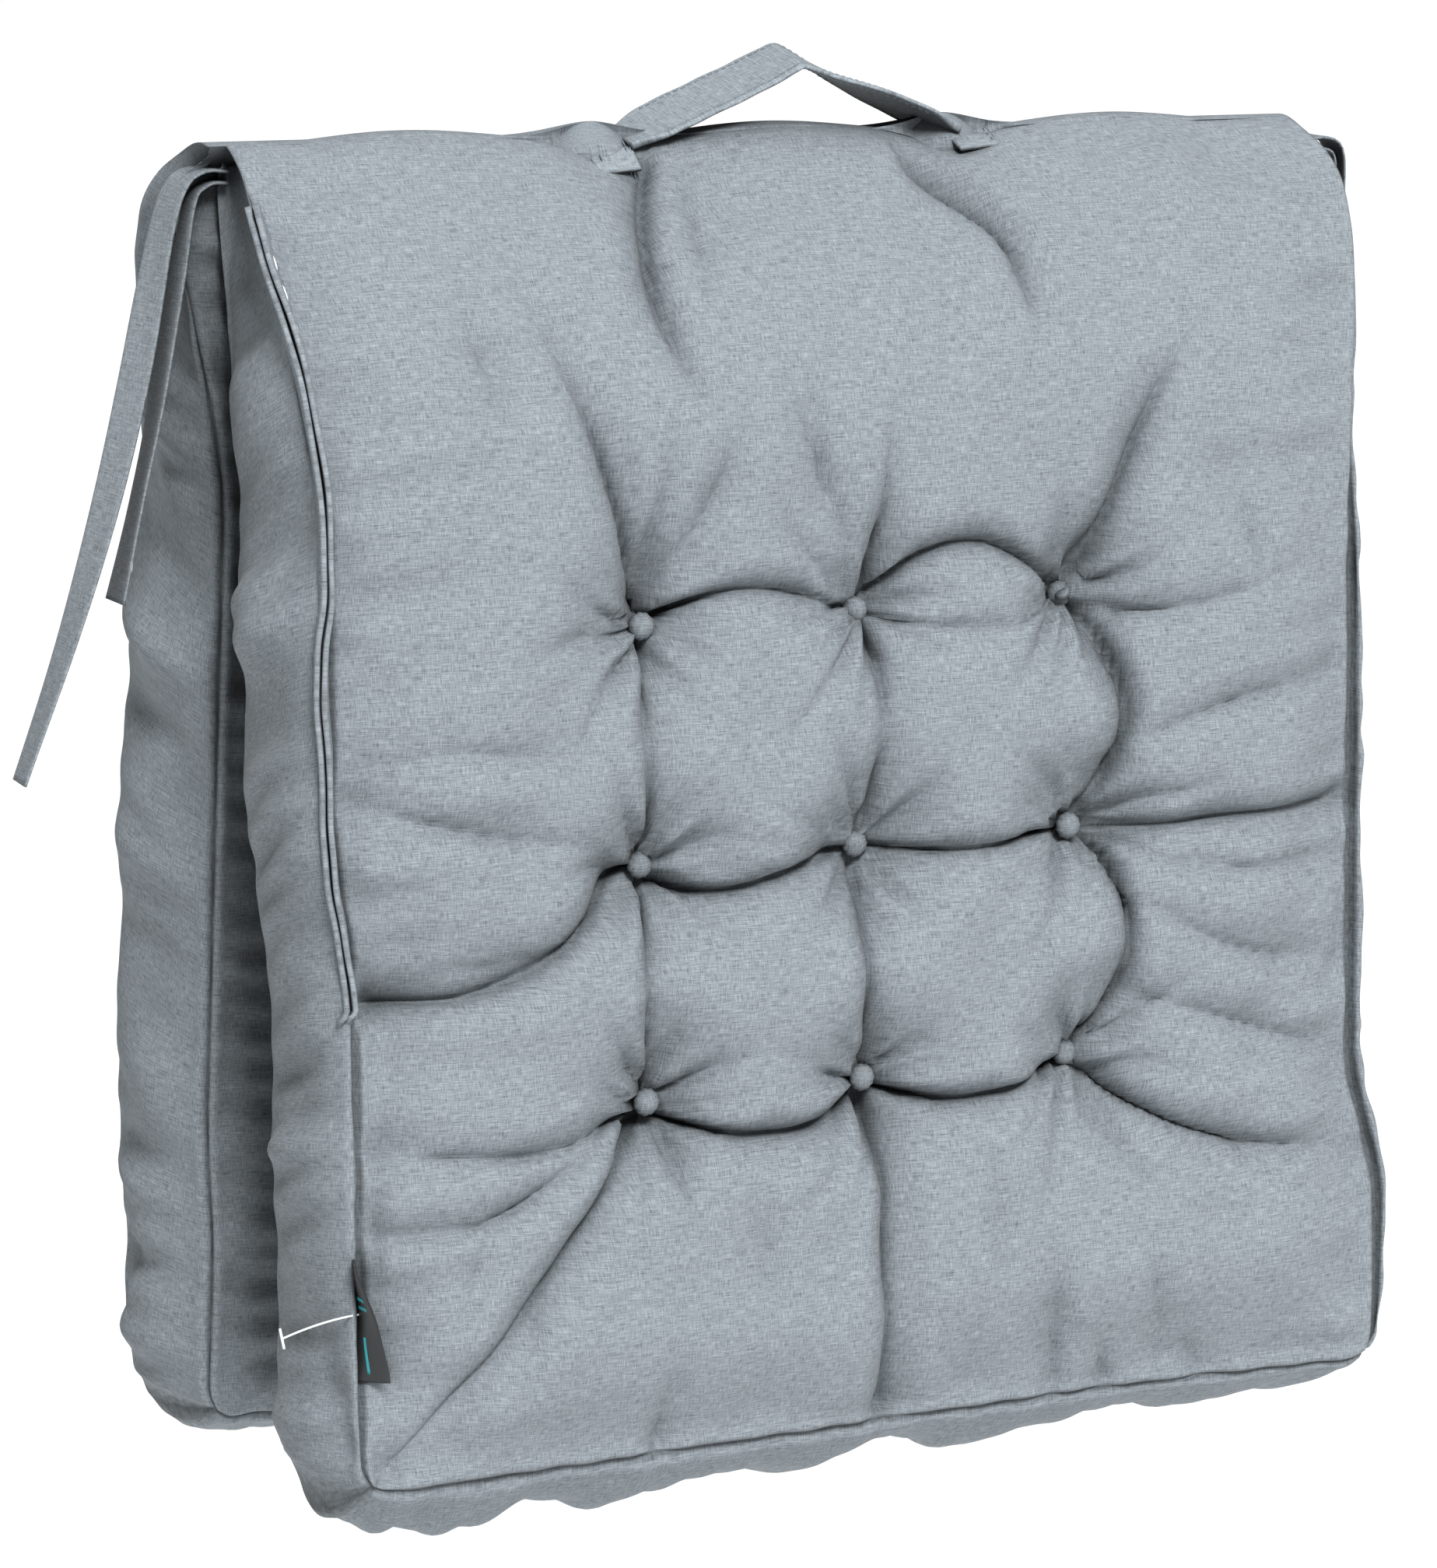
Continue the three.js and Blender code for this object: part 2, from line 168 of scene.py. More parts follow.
def tapeSection(width, thickness, rim=0.0, count=24):
    # Flat section with round edges: a superellipse, a little thicker near both edges as a stitched hem is.
    angle = np.linspace(0, 2 * math.pi, count, endpoint=False)
    flat = np.stack([np.cos(angle), np.sin(angle)], axis=1)
    across, through = (np.sign(flat) * np.abs(flat) ** 0.4 * [width / 2, thickness / 2]).T
    hem = 1 - rim + rim * np.exp(-((width / 2 - 1.4 - np.abs(across)) / 0.9) ** 2)
    return np.stack([across, through * hem], axis=1)


def flatUv(path, section):  # along the tape, and round its section
    along = np.concatenate([[0], np.cumsum(np.linalg.norm(np.diff(path, axis=0), axis=1))])
    return np.stack([np.tile(section[:, 0], len(path)), np.repeat(along, len(section))], axis=1)


# Materials

# seamShade and hollowShade set the painted shade: how much darker the colour is drawn along seams and in hollows.
clothLook = {"dark": (0.104, 0.121, 0.135), "light": (0.346, 0.388, 0.420), "sheen": 0.06,
             "roughness": 0.86, "warp": (2700, 260), "weft": (190, 2700), "slub": (60, 1200),
             "rib": (1200, 90), "threadShare": 0.40, "slubShare": 0.13, "ribShare": 0.07,
             "darkest": 0.36, "lightest": 0.64, "bump": 0.00025,
             "seamShade": 0.55, "hollow": 0.055, "hollowShade": 1.15}


def node(tree, kind, **values):
    made = tree.nodes.new("ShaderNode" + kind)
    for key, value in values.items():
        if key in made.inputs.keys():
            made.inputs[key].default_value = value
        else:
            setattr(made, key, value)
    return made


def newMaterial(name, colour, roughness):
    material = bpy.data.materials.new(name)
    material.use_nodes = True
    shader = material.node_tree.nodes["Principled BSDF"]
    shader.inputs["Base Color"].default_value = (*colour, 1)
    shader.inputs["Roughness"].default_value = roughness
    return material, material.node_tree, shader


def streaks(tree, source, scales, detail=2.0):  # noise drawn out along one way of the cloth
    mapping = node(tree, "Mapping", Scale=(scales[0], scales[1], 1))
    noise = node(tree, "TexNoise", Scale=1.0, Detail=detail, Roughness=0.6)
    tree.links.new(source, mapping.inputs["Vector"])
    tree.links.new(mapping.outputs["Vector"], noise.inputs["Vector"])
    return noise.outputs["Fac"]


def mathNode(tree, kind, a, b):
    made = node(tree, "Math", operation=kind)
    for socket, value in zip(made.inputs, (a, b)):
        if isinstance(value, (int, float)):
            socket.default_value = value
        else:
            tree.links.new(value, socket)
    return made.outputs[0]


def makeCloth(name, shade=1.0, byObject=False):
    # Melange weave: light and dark fibres both ways, long thick places in the weft, a fine thread relief.
    # Painted shade: the colour is drawn darker along the seams by the mesh's seam value, and in hollows by their
    # shelter from the light (an ambient occlusion node), standing in for the shade that falls there.
    look = clothLook
    material, tree, shader = newMaterial(name, look["light"], look["roughness"])
    shader.inputs["Sheen Weight"].default_value = look["sheen"]
    shader.inputs["Sheen Roughness"].default_value = 0.5
    shader.inputs["Specular IOR Level"].default_value = 0.25
    if byObject:
        source = node(tree, "TexCoord").outputs["Object"]
    else:
        source = node(tree, "UVMap", uv_map="weave").outputs["UV"]
    warp = streaks(tree, source, look["warp"])
    weft = streaks(tree, source, look["weft"])
    slub = streaks(tree, source, look["slub"], 1.0)
    rib = streaks(tree, source, look["rib"], 1.0)
    both = mathNode(tree, "MULTIPLY", warp, look["threadShare"])
    for noise, share in ((weft, "threadShare"), (slub, "slubShare"), (rib, "ribShare")):
        both = mathNode(tree, "ADD", both, mathNode(tree, "MULTIPLY", noise, look[share]))
    ramp = node(tree, "ValToRGB")
    ramp.color_ramp.elements[0].position = look["darkest"]
    ramp.color_ramp.elements[0].color = (*(shade * c for c in look["dark"]), 1)
    ramp.color_ramp.elements[1].position = look["lightest"]
    ramp.color_ramp.elements[1].color = (*(shade * c for c in look["light"]), 1)
    # Painted shade along the seams: the seam value darkens the colour, as the shade in a seam's groove would.
    seam = node(tree, "Attribute", attribute_name="seam").outputs["Fac"]
    shadow = mathNode(tree, "SUBTRACT", 1.0, mathNode(tree, "MULTIPLY", seam, look["seamShade"]))
    # Painted shade in hollows: ambient occlusion is multiplied into the base colour.
    hollow = node(tree, "AmbientOcclusion", samples=4, Distance=look["hollow"]).outputs["AO"]
    shadow = mathNode(tree, "MULTIPLY", shadow, mathNode(tree, "POWER", hollow, look["hollowShade"]))
    darker = node(tree, "VectorMath", operation="SCALE")
    tree.links.new(both, ramp.inputs["Fac"])
    tree.links.new(ramp.outputs["Color"], darker.inputs[0])
    tree.links.new(shadow, darker.inputs["Scale"])
    tree.links.new(darker.outputs[0], shader.inputs["Base Color"])
    relief = mathNode(tree, "MULTIPLY", warp, weft)
    bump = node(tree, "Bump", Strength=0.5, Distance=look["bump"])
    tree.links.new(relief, bump.inputs["Height"])
    tree.links.new(bump.outputs["Normal"], shader.inputs["Normal"])
    return material


cloth = makeCloth("meadowCloth")
# The strap and its sewn ends get a 14 % lighter copy of the cloth: painted light, for the up-facing strap that the
# lamps light more strongly.
strapClothPaintedLight = makeCloth("strapClothPaintedLight", 1.14)
buttonCloth = makeCloth("buttonCloth", 0.93)
print("materials made")

makeCamera()

# Ties: flat tapes caught in the fold's seam. Routes run [outwards, up] from where they leave it.
tie = {"width": 15, "thickness": 1.6, "rim": 0.2, "twist": math.radians(10), "curl": math.radians(16),
       "start": 244.6, "steps": 90}
tieRoutes = {
    "left_long_tie": [[0, -4], [10, -3.6], [18, -9], [24, -27], [34, -80], [45, -128], [60, -180],
                      [78.5, -234]],
    "left_short_tie": [[0, -8], [9, -8.6], [15.5, -16], [20, -46], [26, -92], [33, -127], [41.5, -166]],
    "right_long_tie": [[0, -4], [11, -3], [19, -8], [21, -28], [22, -90], [23, -170], [22, -250]],
    "right_short_tie": [[0, -8], [10, -7.6], [15.5, -12], [16.5, -32], [17, -100], [16.5, -176]],
}
foldZ = jointOf["seat_fold"]["pos_m"][2] / mm


def makeTie(name, route):
    # The route lies in an upright plane; the tape's width starts square to it and curls on its way down.
    flat = curveThrough(route, tie["steps"])
    side = -1 if name.startswith("left") else 1
    twist = tie["twist"] if side < 0 else 0
    x = side * (tie["start"] + flat[:, 0] * math.cos(twist))
    path = np.stack([x, flat[:, 0] * math.sin(twist), foldZ + flat[:, 1]], axis=1)
    share = np.linspace(0, 1, len(path))
    phase = 1.5 if "short" in name else 0
    turn = twist * -side + tie["curl"] * np.sin(share * 4.4 + phase) * ease(3 * share)
    widthWay = np.stack([np.sin(turn) * side, np.cos(turn), 0 * turn], axis=1)
    section = tapeSection(tie["width"], tie["thickness"], tie["rim"])
    points = carried(path, widthWay, section)
    piece = makePiece(name + "_tape", points, tubeFaces(len(path), len(section)), cloth)
    putUv(piece.data, flatUv(path, section))
    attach(piece, "left_ties" if side < 0 else "right_ties")
    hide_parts(name)


for tieName, tieRoute in tieRoutes.items():
    makeTie(tieName, tieRoute)
print("ties made")

# One half of the pad in its own frame: x across, out from the fold plane, down from the fold axis.
half = {"seamDown": 501, "seamOut": 71.5, "innerOut": 1.5, "sideBulge": 11.5, "endHollow": 8,
        "bottomBulge": 21, "faceRoll": 60, "innerCrown": 7, "cornerRadius": 15, "step": 5.4,
        "leftFlare": 9, "rightFlare": 27, "flareEnd": 150, "hollowEnd": 110}
outerLine = [[-6, -6.3], [0, -7], [7, -5.6], [15, -0.6], [25, 8], [41, 34], [55, 64], [69, 110],
             [75, 150], [77.5, 200], [77.5, 300], [77.5, 400], [76.5, 455], [74.5, 486], [71.5, 501]]
innerLine = [[1.5, 3], [1.5, 120], [1.5, 300], [1.5, 501]]
tuft = {"faceDepth": 12, "faceSpread": 20, "innerDepth": 7.5, "innerSpread": 13, "pinned": 5.5}
lean = math.asin(mountOf["seat_face"]["axis"][2])
fillingLow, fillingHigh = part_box("seat_filling")
sideways = (fillingLow.x + fillingHigh.x) / 2 / mm
panelLow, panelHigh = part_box("seat_outer_panel")
halfWidth = (panelHigh.x - panelLow.x) / 2 / mm + 0.3
turnOf = {"seat": 1, "back": -1}


def intoRow(points, name):
    # Leans the half about the fold axis, turns the back half round, and moves both a little sideways.
    x, out, down = np.asarray(points, float).T
    y = -out * math.cos(lean) - down * math.sin(lean)
    z = out * math.sin(lean) - down * math.cos(lean)
    return np.stack([turnOf[name] * x + sideways, turnOf[name] * y, z + foldZ], axis=1)


def intoHalf(points, name):  # the way back
    x, y, z = np.asarray(points, float).T
    y, z = turnOf[name] * y, z - foldZ
    out = -y * math.cos(lean) + z * math.sin(lean)
    down = -y * math.sin(lean) - z * math.cos(lean)
    return np.stack([turnOf[name] * (x - sideways), out, down], axis=1)


def middleOf(nodeName):
    low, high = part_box(nodeName)
    return (np.array(low) + np.array(high)) / 2 / mm


tuftPlaces = intoHalf([middleOf(f"seat_button_{i + 1}") for i in range(9)], "seat")[:, [0, 2]]


def ticks(length, step):  # even steps, finer beside the seam at both ends
    fine = np.array([0, 1.3, 3.2, 6.2, 10.4])
    count = int(round((length - 2 * fine[-1]) / step))
    middle = np.linspace(fine[-1], length - fine[-1], count + 1)[1:-1]
    return np.concatenate([fine, middle, length - fine[::-1]]) / length


def gridQuads(index):  # the quads of a grid of point numbers
    return np.stack([index[:-1, :-1], index[1:, :-1], index[1:, 1:], index[:-1, 1:]], axis=-1).reshape(-1, 4)


def latticeBox(counts):
    # Points of a closed box, as whole-number places on its surface, and its quads, facing out.
    whole = np.indices([n + 1 for n in counts]).reshape(3, -1).T
    skin = ((whole == 0) | (whole == counts)).any(1)
    index = np.full([n + 1 for n in counts], -1)
    index[tuple(whole[skin].T)] = np.arange(skin.sum())
    quads, panel = [], []
    for axis in range(3):
        for end in (0, 1):
            face = np.take(index, -1 if end else 0, axis=axis)
            corners = gridQuads(face)
            if (end == 0) != (axis == 1):
                corners = corners[:, ::-1]
            quads.append(corners)
            panel.append(np.full(len(corners), 2 * axis + end))
    return whole[skin], np.vstack(quads), np.concatenate(panel)


def widthAt(down, right):  # half width at the seams: the cloth runs wider over the crest
    flare = np.where(right, half["rightFlare"], half["leftFlare"])
    near = 1 - ease((down + 7) / half["flareEnd"])
    corner = np.where(right, 12 * np.exp(-((down + 7) / 16) ** 2), 2 * np.exp(-((down + 7) / 12) ** 2))
    return halfWidth + flare * near - corner


def tuftDips(x, down, spread):
    reach = np.hypot(x[:, None] - tuftPlaces[:, 0], down[:, None] - tuftPlaces[:, 1])
    return np.exp(-reach / spread).max(1), reach.min(1)


outerCurve = curveThrough(outerLine, 400)
innerCurve = curveThrough(innerLine, 400)
acrossTicks = ticks(2 * halfWidth, half["step"]) * 2 - 1
dropTicks = ticks(lengthOf(outerCurve), half["step"])
depthTicks = ticks(half["seamOut"] - half["innerOut"], half["step"])


def bodyShape(a, s, c, tufted):
    # a runs across from -1 to 1, s down from the fold, c from the inner face to the outer one. A point lies
    # between the inner and outer profile lines; sides and bottom swell between their seams.
    share = np.linspace(0, 1, 400)
    outerOut, outerDown = (np.interp(s, share, column) for column in outerCurve.T)
    innerOut, innerDown = (np.interp(s, share, column) for column in innerCurve.T)
    out = innerOut + c * (outerOut - innerOut)
    down = innerDown + c * (outerDown - innerDown)
    width = widthAt(down, a > 0)
    belly = 4 * c * (1 - c)
    side = np.abs(a) > 0.999999
    swell = half["sideBulge"] * ease((down - 40) / (half["hollowEnd"] - 40))
    hollow = half["endHollow"] * (1 - ease((down - 20) / (half["hollowEnd"] - 40)))
    x = a * width + np.where(side, np.sign(a) * belly * (swell - hollow), 0)
    bottom = s > 0.999999
    nearCorner = np.clip(np.abs(a) - 0.9, 0, 1)
    down = down + np.where(bottom, half["bottomBulge"] * belly * (1 - 0.25 * a) * (1 - 3 * nearCorner), 0)
    inward = (1 - np.clip((width - np.abs(x)) / half["faceRoll"], 0, 1)) ** 2
    roll = np.clip(outerOut - half["seamOut"], 0, 20)
    out = out - np.where(c > 0.999, roll * inward, 0)
    room = np.minimum(half["innerCrown"], 0.85 * np.tan(lean) * np.clip(down, 0, None))
    lower = 1 - np.clip((down - half["seamDown"] + half["faceRoll"]) / half["faceRoll"], 0, 1) ** 2
    out = out - np.where(c < 0.001, room * (1 - inward) * lower, 0)
    if tufted:
        dip, _ = tuftDips(x, down, tuft["faceSpread"])
        out = out - np.where(c > 0.999, tuft["faceDepth"] * dip, 0)
        dip, _ = tuftDips(x, down, tuft["innerSpread"])
        out = out + np.where(c < 0.001, (tuft["innerDepth"] + room) * dip, 0)
    radius = half["cornerRadius"]
    p = np.clip(1 - (width - np.abs(x)) / radius, 0, 1)
    q = np.clip(1 - (half["seamDown"] - down) / radius, 0, 1)
    x = x - np.sign(x) * radius * p * (1 - np.sqrt(1 - q * q / 2)) * (q < 1.2)
    down = down - radius * q * (1 - np.sqrt(1 - p * p / 2))
    return np.stack([x, out, down], axis=1)


# Cloth simulation: each half is stuffed like the real one, its cover a little larger than its fill.
sewing = {"frames": 22, "pressure": 4.0, "extra": 1.025, "bend": 0.35, "cap": 11, "quality": 5}


def stuffed(start, rest, quads, pinned):
    # Pressure swells the cover from its tufted start; the rest shape is larger, so spare cloth wrinkles.
    mesh = bpy.data.meshes.new("stuffing")
    mesh.from_pydata((start * mm).tolist(), [], quads.tolist())
    trial = bpy.data.objects.new("stuffing", mesh)
    bpy.context.scene.collection.objects.link(trial)
    trial.shape_key_add(name="start")
    larger = trial.shape_key_add(name="cut")
    larger.data.foreach_set("co", (rest * mm).astype(np.float32).ravel())
    group = trial.vertex_groups.new(name="held")
    group.add(np.flatnonzero(pinned).tolist(), 1.0, "REPLACE")
    modifier = trial.modifiers.new("stuffing", "CLOTH")
    settings = modifier.settings
    settings.quality = sewing["quality"]
    settings.use_pressure = True
    settings.uniform_pressure_force = sewing["pressure"]
    settings.vertex_group_mass = "held"
    settings.rest_shape_key = larger
    settings.bending_stiffness = sewing["bend"]
    settings.effector_weights.gravity = 0
    modifier.collision_settings.use_collision = False
    modifier.collision_settings.use_self_collision = False
    scene = bpy.context.scene
    for step in range(1, sewing["frames"] + 1):
        scene.frame_set(step)
    result = trial.evaluated_get(bpy.context.evaluated_depsgraph_get()).to_mesh()
    points = np.zeros(len(start) * 3, np.float32)
    result.vertices.foreach_get("co", points)
    scene.frame_set(1)
    bpy.data.objects.remove(trial)
    return points.reshape(-1, 3).astype(float) / mm


counts = np.array([len(acrossTicks) - 1, len(depthTicks) - 1, len(dropTicks) - 1])
places, quads, _ = latticeBox(counts)
a, c, s = acrossTicks[places[:, 0]], depthTicks[places[:, 1]], dropTicks[places[:, 2]]
start = bodyShape(a, s, c, True)
rest = bodyShape(a, s, c, False)
middle = rest.mean(0)
rest = middle + (rest - middle) * sewing["extra"]
_, nearTuft = tuftDips(start[:, 0], start[:, 2], 1)
alongDrop = s * lengthOf(outerCurve)
flatFaces = (c < 0.001) | (c > 0.999)
onSeam = ((np.abs(a) > 0.9999).astype(int) + flatFaces + (s > 0.9999)) > 1
pinned = (flatFaces & (nearTuft < tuft["pinned"])) | (alongDrop < 12) | onSeam
print("lattice of", len(start), "points,", int(pinned.sum()), "held")
swollen = stuffed(start, rest, quads, pinned)
move = swollen - start
size = np.linalg.norm(move, axis=1, keepdims=True)
print("swelled by", size.max().round(1), "at most,", np.median(size).round(1), "usually")
move = unit(move) * sewing["cap"] * np.tanh(size / sewing["cap"])
settle = ease((alongDrop - 8) / 40)[:, None]
shaped = start + move * settle
print("cover stuffed")


def finishCover(name, points):
    # One level of subdivision, then the mesh is read back. Each point keeps its place on the cover.
    mesh = bpy.data.meshes.new(name)
    mesh.from_pydata((points * mm).tolist(), [], quads.tolist())
    mesh.shade_smooth()
    keep = mesh.attributes.new("place", "FLOAT_VECTOR", "POINT")
    keep.data.foreach_set("vector", np.stack([a, s, c], axis=1).astype(np.float32).ravel())
    rough = bpy.data.objects.new(name, mesh)
    bpy.context.scene.collection.objects.link(rough)
    level = rough.modifiers.new("fine", "SUBSURF")
    level.levels = level.render_levels = 1
    level.boundary_smooth = "PRESERVE_CORNERS"
    fine = bpy.data.meshes.new_from_object(rough.evaluated_get(bpy.context.evaluated_depsgraph_get()))
    bpy.data.objects.remove(rough)
    return fine


def readPoints(mesh):
    points = np.zeros(len(mesh.vertices) * 3, np.float32)
    mesh.vertices.foreach_get("co", points)
    return points.reshape(-1, 3).astype(float) / mm


def readPlaces(mesh):
    values = np.zeros(len(mesh.vertices) * 3, np.float32)
    mesh.attributes["place"].data.foreach_get("vector", values)
    return values.reshape(-1, 3).astype(float).T


def normalsOf(mesh):
    normals = np.zeros(len(mesh.vertices) * 3, np.float32)
    mesh.vertices.foreach_get("normal", normals)
    return normals.reshape(-1, 3).astype(float)


# Creases of the seat half's outer face: the route in [across, down], its depth at start, middle and end,
# the width, and the tilt towards one side.
seatCreases = [
    ([[-96.5, 178], [-68, 166], [-38, 167], [0, 178]], (9, 6, 9), 9, 0.5),
    ([[0, 178], [24, 157], [52, 153], [80, 166], [96.5, 178]], (9, 7, 9), 9, 0.5),
    ([[0, 180], [40, 186], [72, 186], [96.5, 180]], (5, 3, 5), 7, 0),
    ([[-96.5, 270], [-86, 278], [-64, 281], [-38, 276], [0, 270]], (10, 8, 9), 9, 0.5),
    ([[0, 270], [40, 273], [96.5, 270]], (9, 6, 9), 8, 0.5),
    ([[-96.5, 362], [-84, 370], [-56, 377], [-21, 376], [0, 362]], (10, 8, 10), 9, 0.6),
    ([[0, 362], [20, 369], [42, 373], [76, 369], [96.5, 362]], (10, 8, 10), 9, 0.6),
    ([[-96.5, 178], [-101, 224], [-96.5, 270]], (9, 4.5, 9), 9, -0.4),
    ([[-96.5, 270], [-102, 316], [-96.5, 362]], (9, 4.5, 9), 9, -0.4),
    ([[0, 178], [5, 205], [3, 240], [0, 270]], (8, 4, 7), 8, 0),
    ([[0, 270], [-4, 304], [-2, 336], [0, 362]], (8, 6, 9), 8, -0.3),
    ([[96.5, 178], [110, 196], [118, 222], [113, 248], [96.5, 270]], (10, 10, 10), 9, 0.7),
    ([[96.5, 270], [111, 284], [119, 308], [115, 334], [96.5, 362]], (10, 8, 9), 9, 0.6),
    ([[-96.5, 178], [-112, 128], [-138, 51]], (10, 7, 1), 9, 0.3),
    ([[-96.5, 178], [-94, 140], [-84, 100]], (8, 5, 1), 8, 0),
    ([[-60, 0], [-76, 30], [-81, 62], [-71, 100]], (7, 8, 1), 7, 0.5),
    ([[-48, 6], [-56, 40], [-58, 66]], (3, 4, 0), 10, 0),
    ([[0, 178], [6, 140], [14, 92]], (9, 5, 0), 8, 0.2),
    ([[96.5, 178], [118, 132], [136, 100], [166, 64]], (10, 7, 0), 8, -0.3),
    ([[56, 8], [72, 24], [82, 40], [83, 76]], (7, 8, 1), 6.5, -0.4),
    ([[96.5, 178], [88, 140], [84, 112]], (6, 3, 0), 10, 0),
    ([[96.5, 270], [126, 272], [163, 270], [228, 268]], (9, 7, 5), 8, 0.4),
    ([[98, 268], [134, 258], [170, 256]], (6, 3, 0), 8, 0),
    ([[-96.5, 270], [-112, 276], [-143, 300], [-184, 312], [-230, 313]], (9, 8, 7), 9, 0.4),
    ([[-100, 268], [-132, 268], [-160, 280]], (5, 3, 0), 10, 0),
    ([[-96.5, 362], [-130, 401], [-164, 439], [-217, 489]], (10, 7, 3), 10, -0.5),
    ([[-96.5, 362], [-90, 388], [-84, 424]], (7, 4, 0), 9, 0),
    ([[0, 362], [4, 400], [3, 440], [8, 499]], (10, 7, 6), 9, -0.5),
    ([[96.5, 362], [128, 386], [160, 400], [229, 416]], (9, 6, 1), 8, 0.3),
    ([[96.5, 362], [122, 384], [162, 404], [204, 434]], (8, 5, 0), 9, 0.3),
    ([[96.5, 362], [110, 392], [126, 432]], (7, 4, 0), 9, 0),
    ([[79, 424], [82, 462], [87, 498]], (0, 3, 3), 7, 0.4),
    ([[118, 424], [126, 455], [133, 488]], (0, 3, 2), 7, -0.4),
    ([[99, 466], [112, 500]], (0, 2, 4), 6, 0.3),
    ([[140, 478], [156, 502]], (0, 2, 4), 6, -0.3),
    ([[19, 430], [17, 456], [15, 482]], (0, 3, 0), 8, 0),
    ([[-145, 426], [-156, 448], [-165, 466]], (0, 3, 0), 9, 0.4),
    ([[-91, 455], [-93, 478], [-95, 499]], (0, 2, 4), 7, -0.3),
    ([[-172, 49], [-161, 76], [-154, 104]], (0, 4, 0), 11, 0.2),
    ([[-39, 69], [-27, 108], [-19, 148]], (0, 3, 0), 10, -0.2),
    ([[162, 117], [176, 160], [181, 200]], (0, 4, 0), 11, 0.2),
    ([[-113, 285], [-165, 298], [-212, 298]], (1, 4, 1), 7, 0.3),
    ([[-116, 260], [-171, 251], [-223, 236]], (1, 4, 2), 8, 0.3),
    ([[-135, 227], [-177, 219], [-216, 222]], (0, 3, 2), 7, -0.2),
    ([[-107, 364], [-152, 374], [-222, 370]], (4, 5, 2), 7, 0.4),
    ([[-114, 368], [-173, 397], [-223, 401]], (3, 5, 2), 8, 0.4),
    ([[108, 240], [162, 224], [224, 216]], (2, 4, 1), 8, 0.3),
    ([[116, 279], [170, 291], [223, 291]], (2, 4, 2), 7, 0.3),
    ([[116, 298], [170, 324], [225, 334]], (2, 4, 2), 8, -0.2),
    ([[120, 337], [178, 357], [233, 376]], (2, 4, 1), 8, 0.3),
    ([[115, 186], [161, 181], [222, 164]], (3, 3, 0), 8, 0.2),
    ([[-17, 85], [-22, 113], [-10, 157]], (0, 4, 1), 8, 0.3),
    ([[-52, 93], [-66, 123], [-88, 158]], (0, 4, 2), 8, -0.3),
    ([[48, 382], [52, 421], [55, 467]], (0, 3, 0), 9, 0.3),
    ([[-54, 381], [-53, 415], [-48, 461]], (0, 3, 0), 9, 0.3),
    ([[-173, 383], [-184, 419], [-194, 449]], (0, 3, 0), 9, 0.3),
]


fanLook = {"rays": 9, "shortest": 30, "longest": 78, "least": 1.6, "most": 3.0, "wide": 4.6, "start": 7}


def fan(tuftPlace, random):
    # Thin drawn folds round a tuft: rays at uneven angles, each fading out at its own length.
    rays = []
    count = fanLook["rays"]
    for turn in np.arange(count) / count * 2 * math.pi + random.uniform(0, 0.5, count):
        way = np.array([math.cos(turn), math.sin(turn)])
        bend = random.uniform(-0.16, 0.16) * np.array([-way[1], way[0]])
        reach = random.uniform(fanLook["shortest"], fanLook["longest"])
        deep = random.uniform(fanLook["least"], fanLook["most"])
        route = [(tuftPlace + way * fanLook["start"]).tolist(),
                 (tuftPlace + (way + bend) * reach * 0.55).tolist(), (tuftPlace + way * reach).tolist()]
        rays.append((route, (deep, 0.7 * deep, 0), fanLook["wide"], float(random.uniform(-0.5, 0.5))))
    return rays


fanRandom = np.random.default_rng(12)
for place in tuftPlaces:
    seatCreases += fan(place, fanRandom)
backCreases = [([[-x, down] for x, down in route], deep, wide, -tilt)
               for route, deep, wide, tilt in seatCreases]
relief = {"press": 1.6, "tuftWide": 15, "gather": 2.1, "lumps": 2.2, "sideLumps": 5.0, "pillow": 9.5,
          "seamDeep": 1.9, "seamWide": 1.1, "lip": 0.8, "dent": 5.5, "crestSwell": 2.6}
footOf = {"seat": (-9, 15), "back": (0, -4)}  # how far the left and right sides stray at the bottom


def waves(u, v, seed, long, share=0.5):
    # Soft lumps: a sum of eight sine waves in random directions, their lengths spread around the given one.
    random = np.random.default_rng(seed)
    total = np.zeros_like(u)
    for turn, phase, stretch in zip(random.uniform(0, math.pi, 8), random.uniform(0, 2 * math.pi, 8),
                                    random.uniform(1 - share, 1 + share, 8)):
        total += np.sin((u * math.cos(turn) + v * math.sin(turn)) * 2 * math.pi / (long * stretch) + phase)
    return total / 4


def nearestOn(route, x, down):
    # Nearest point of a line of points: its distance, the way to it, its side, and how far along.
    first, step = route[:-1], np.diff(route, axis=0)
    offset = np.stack([x, down], axis=1)[:, None] - first
    t = np.clip((offset * step).sum(2) / (step**2).sum(1), 0, 1)
    away = offset - t[..., None] * step
    distance = np.linalg.norm(away, axis=2)
    best = distance.argmin(1)
    row = np.arange(len(x))
    away, along = away[row, best], (best + t[row, best]) / len(first)
    side = np.sign(step[best, 0] * away[:, 1] - step[best, 1] * away[:, 0])
    return distance[row, best], away, side, along


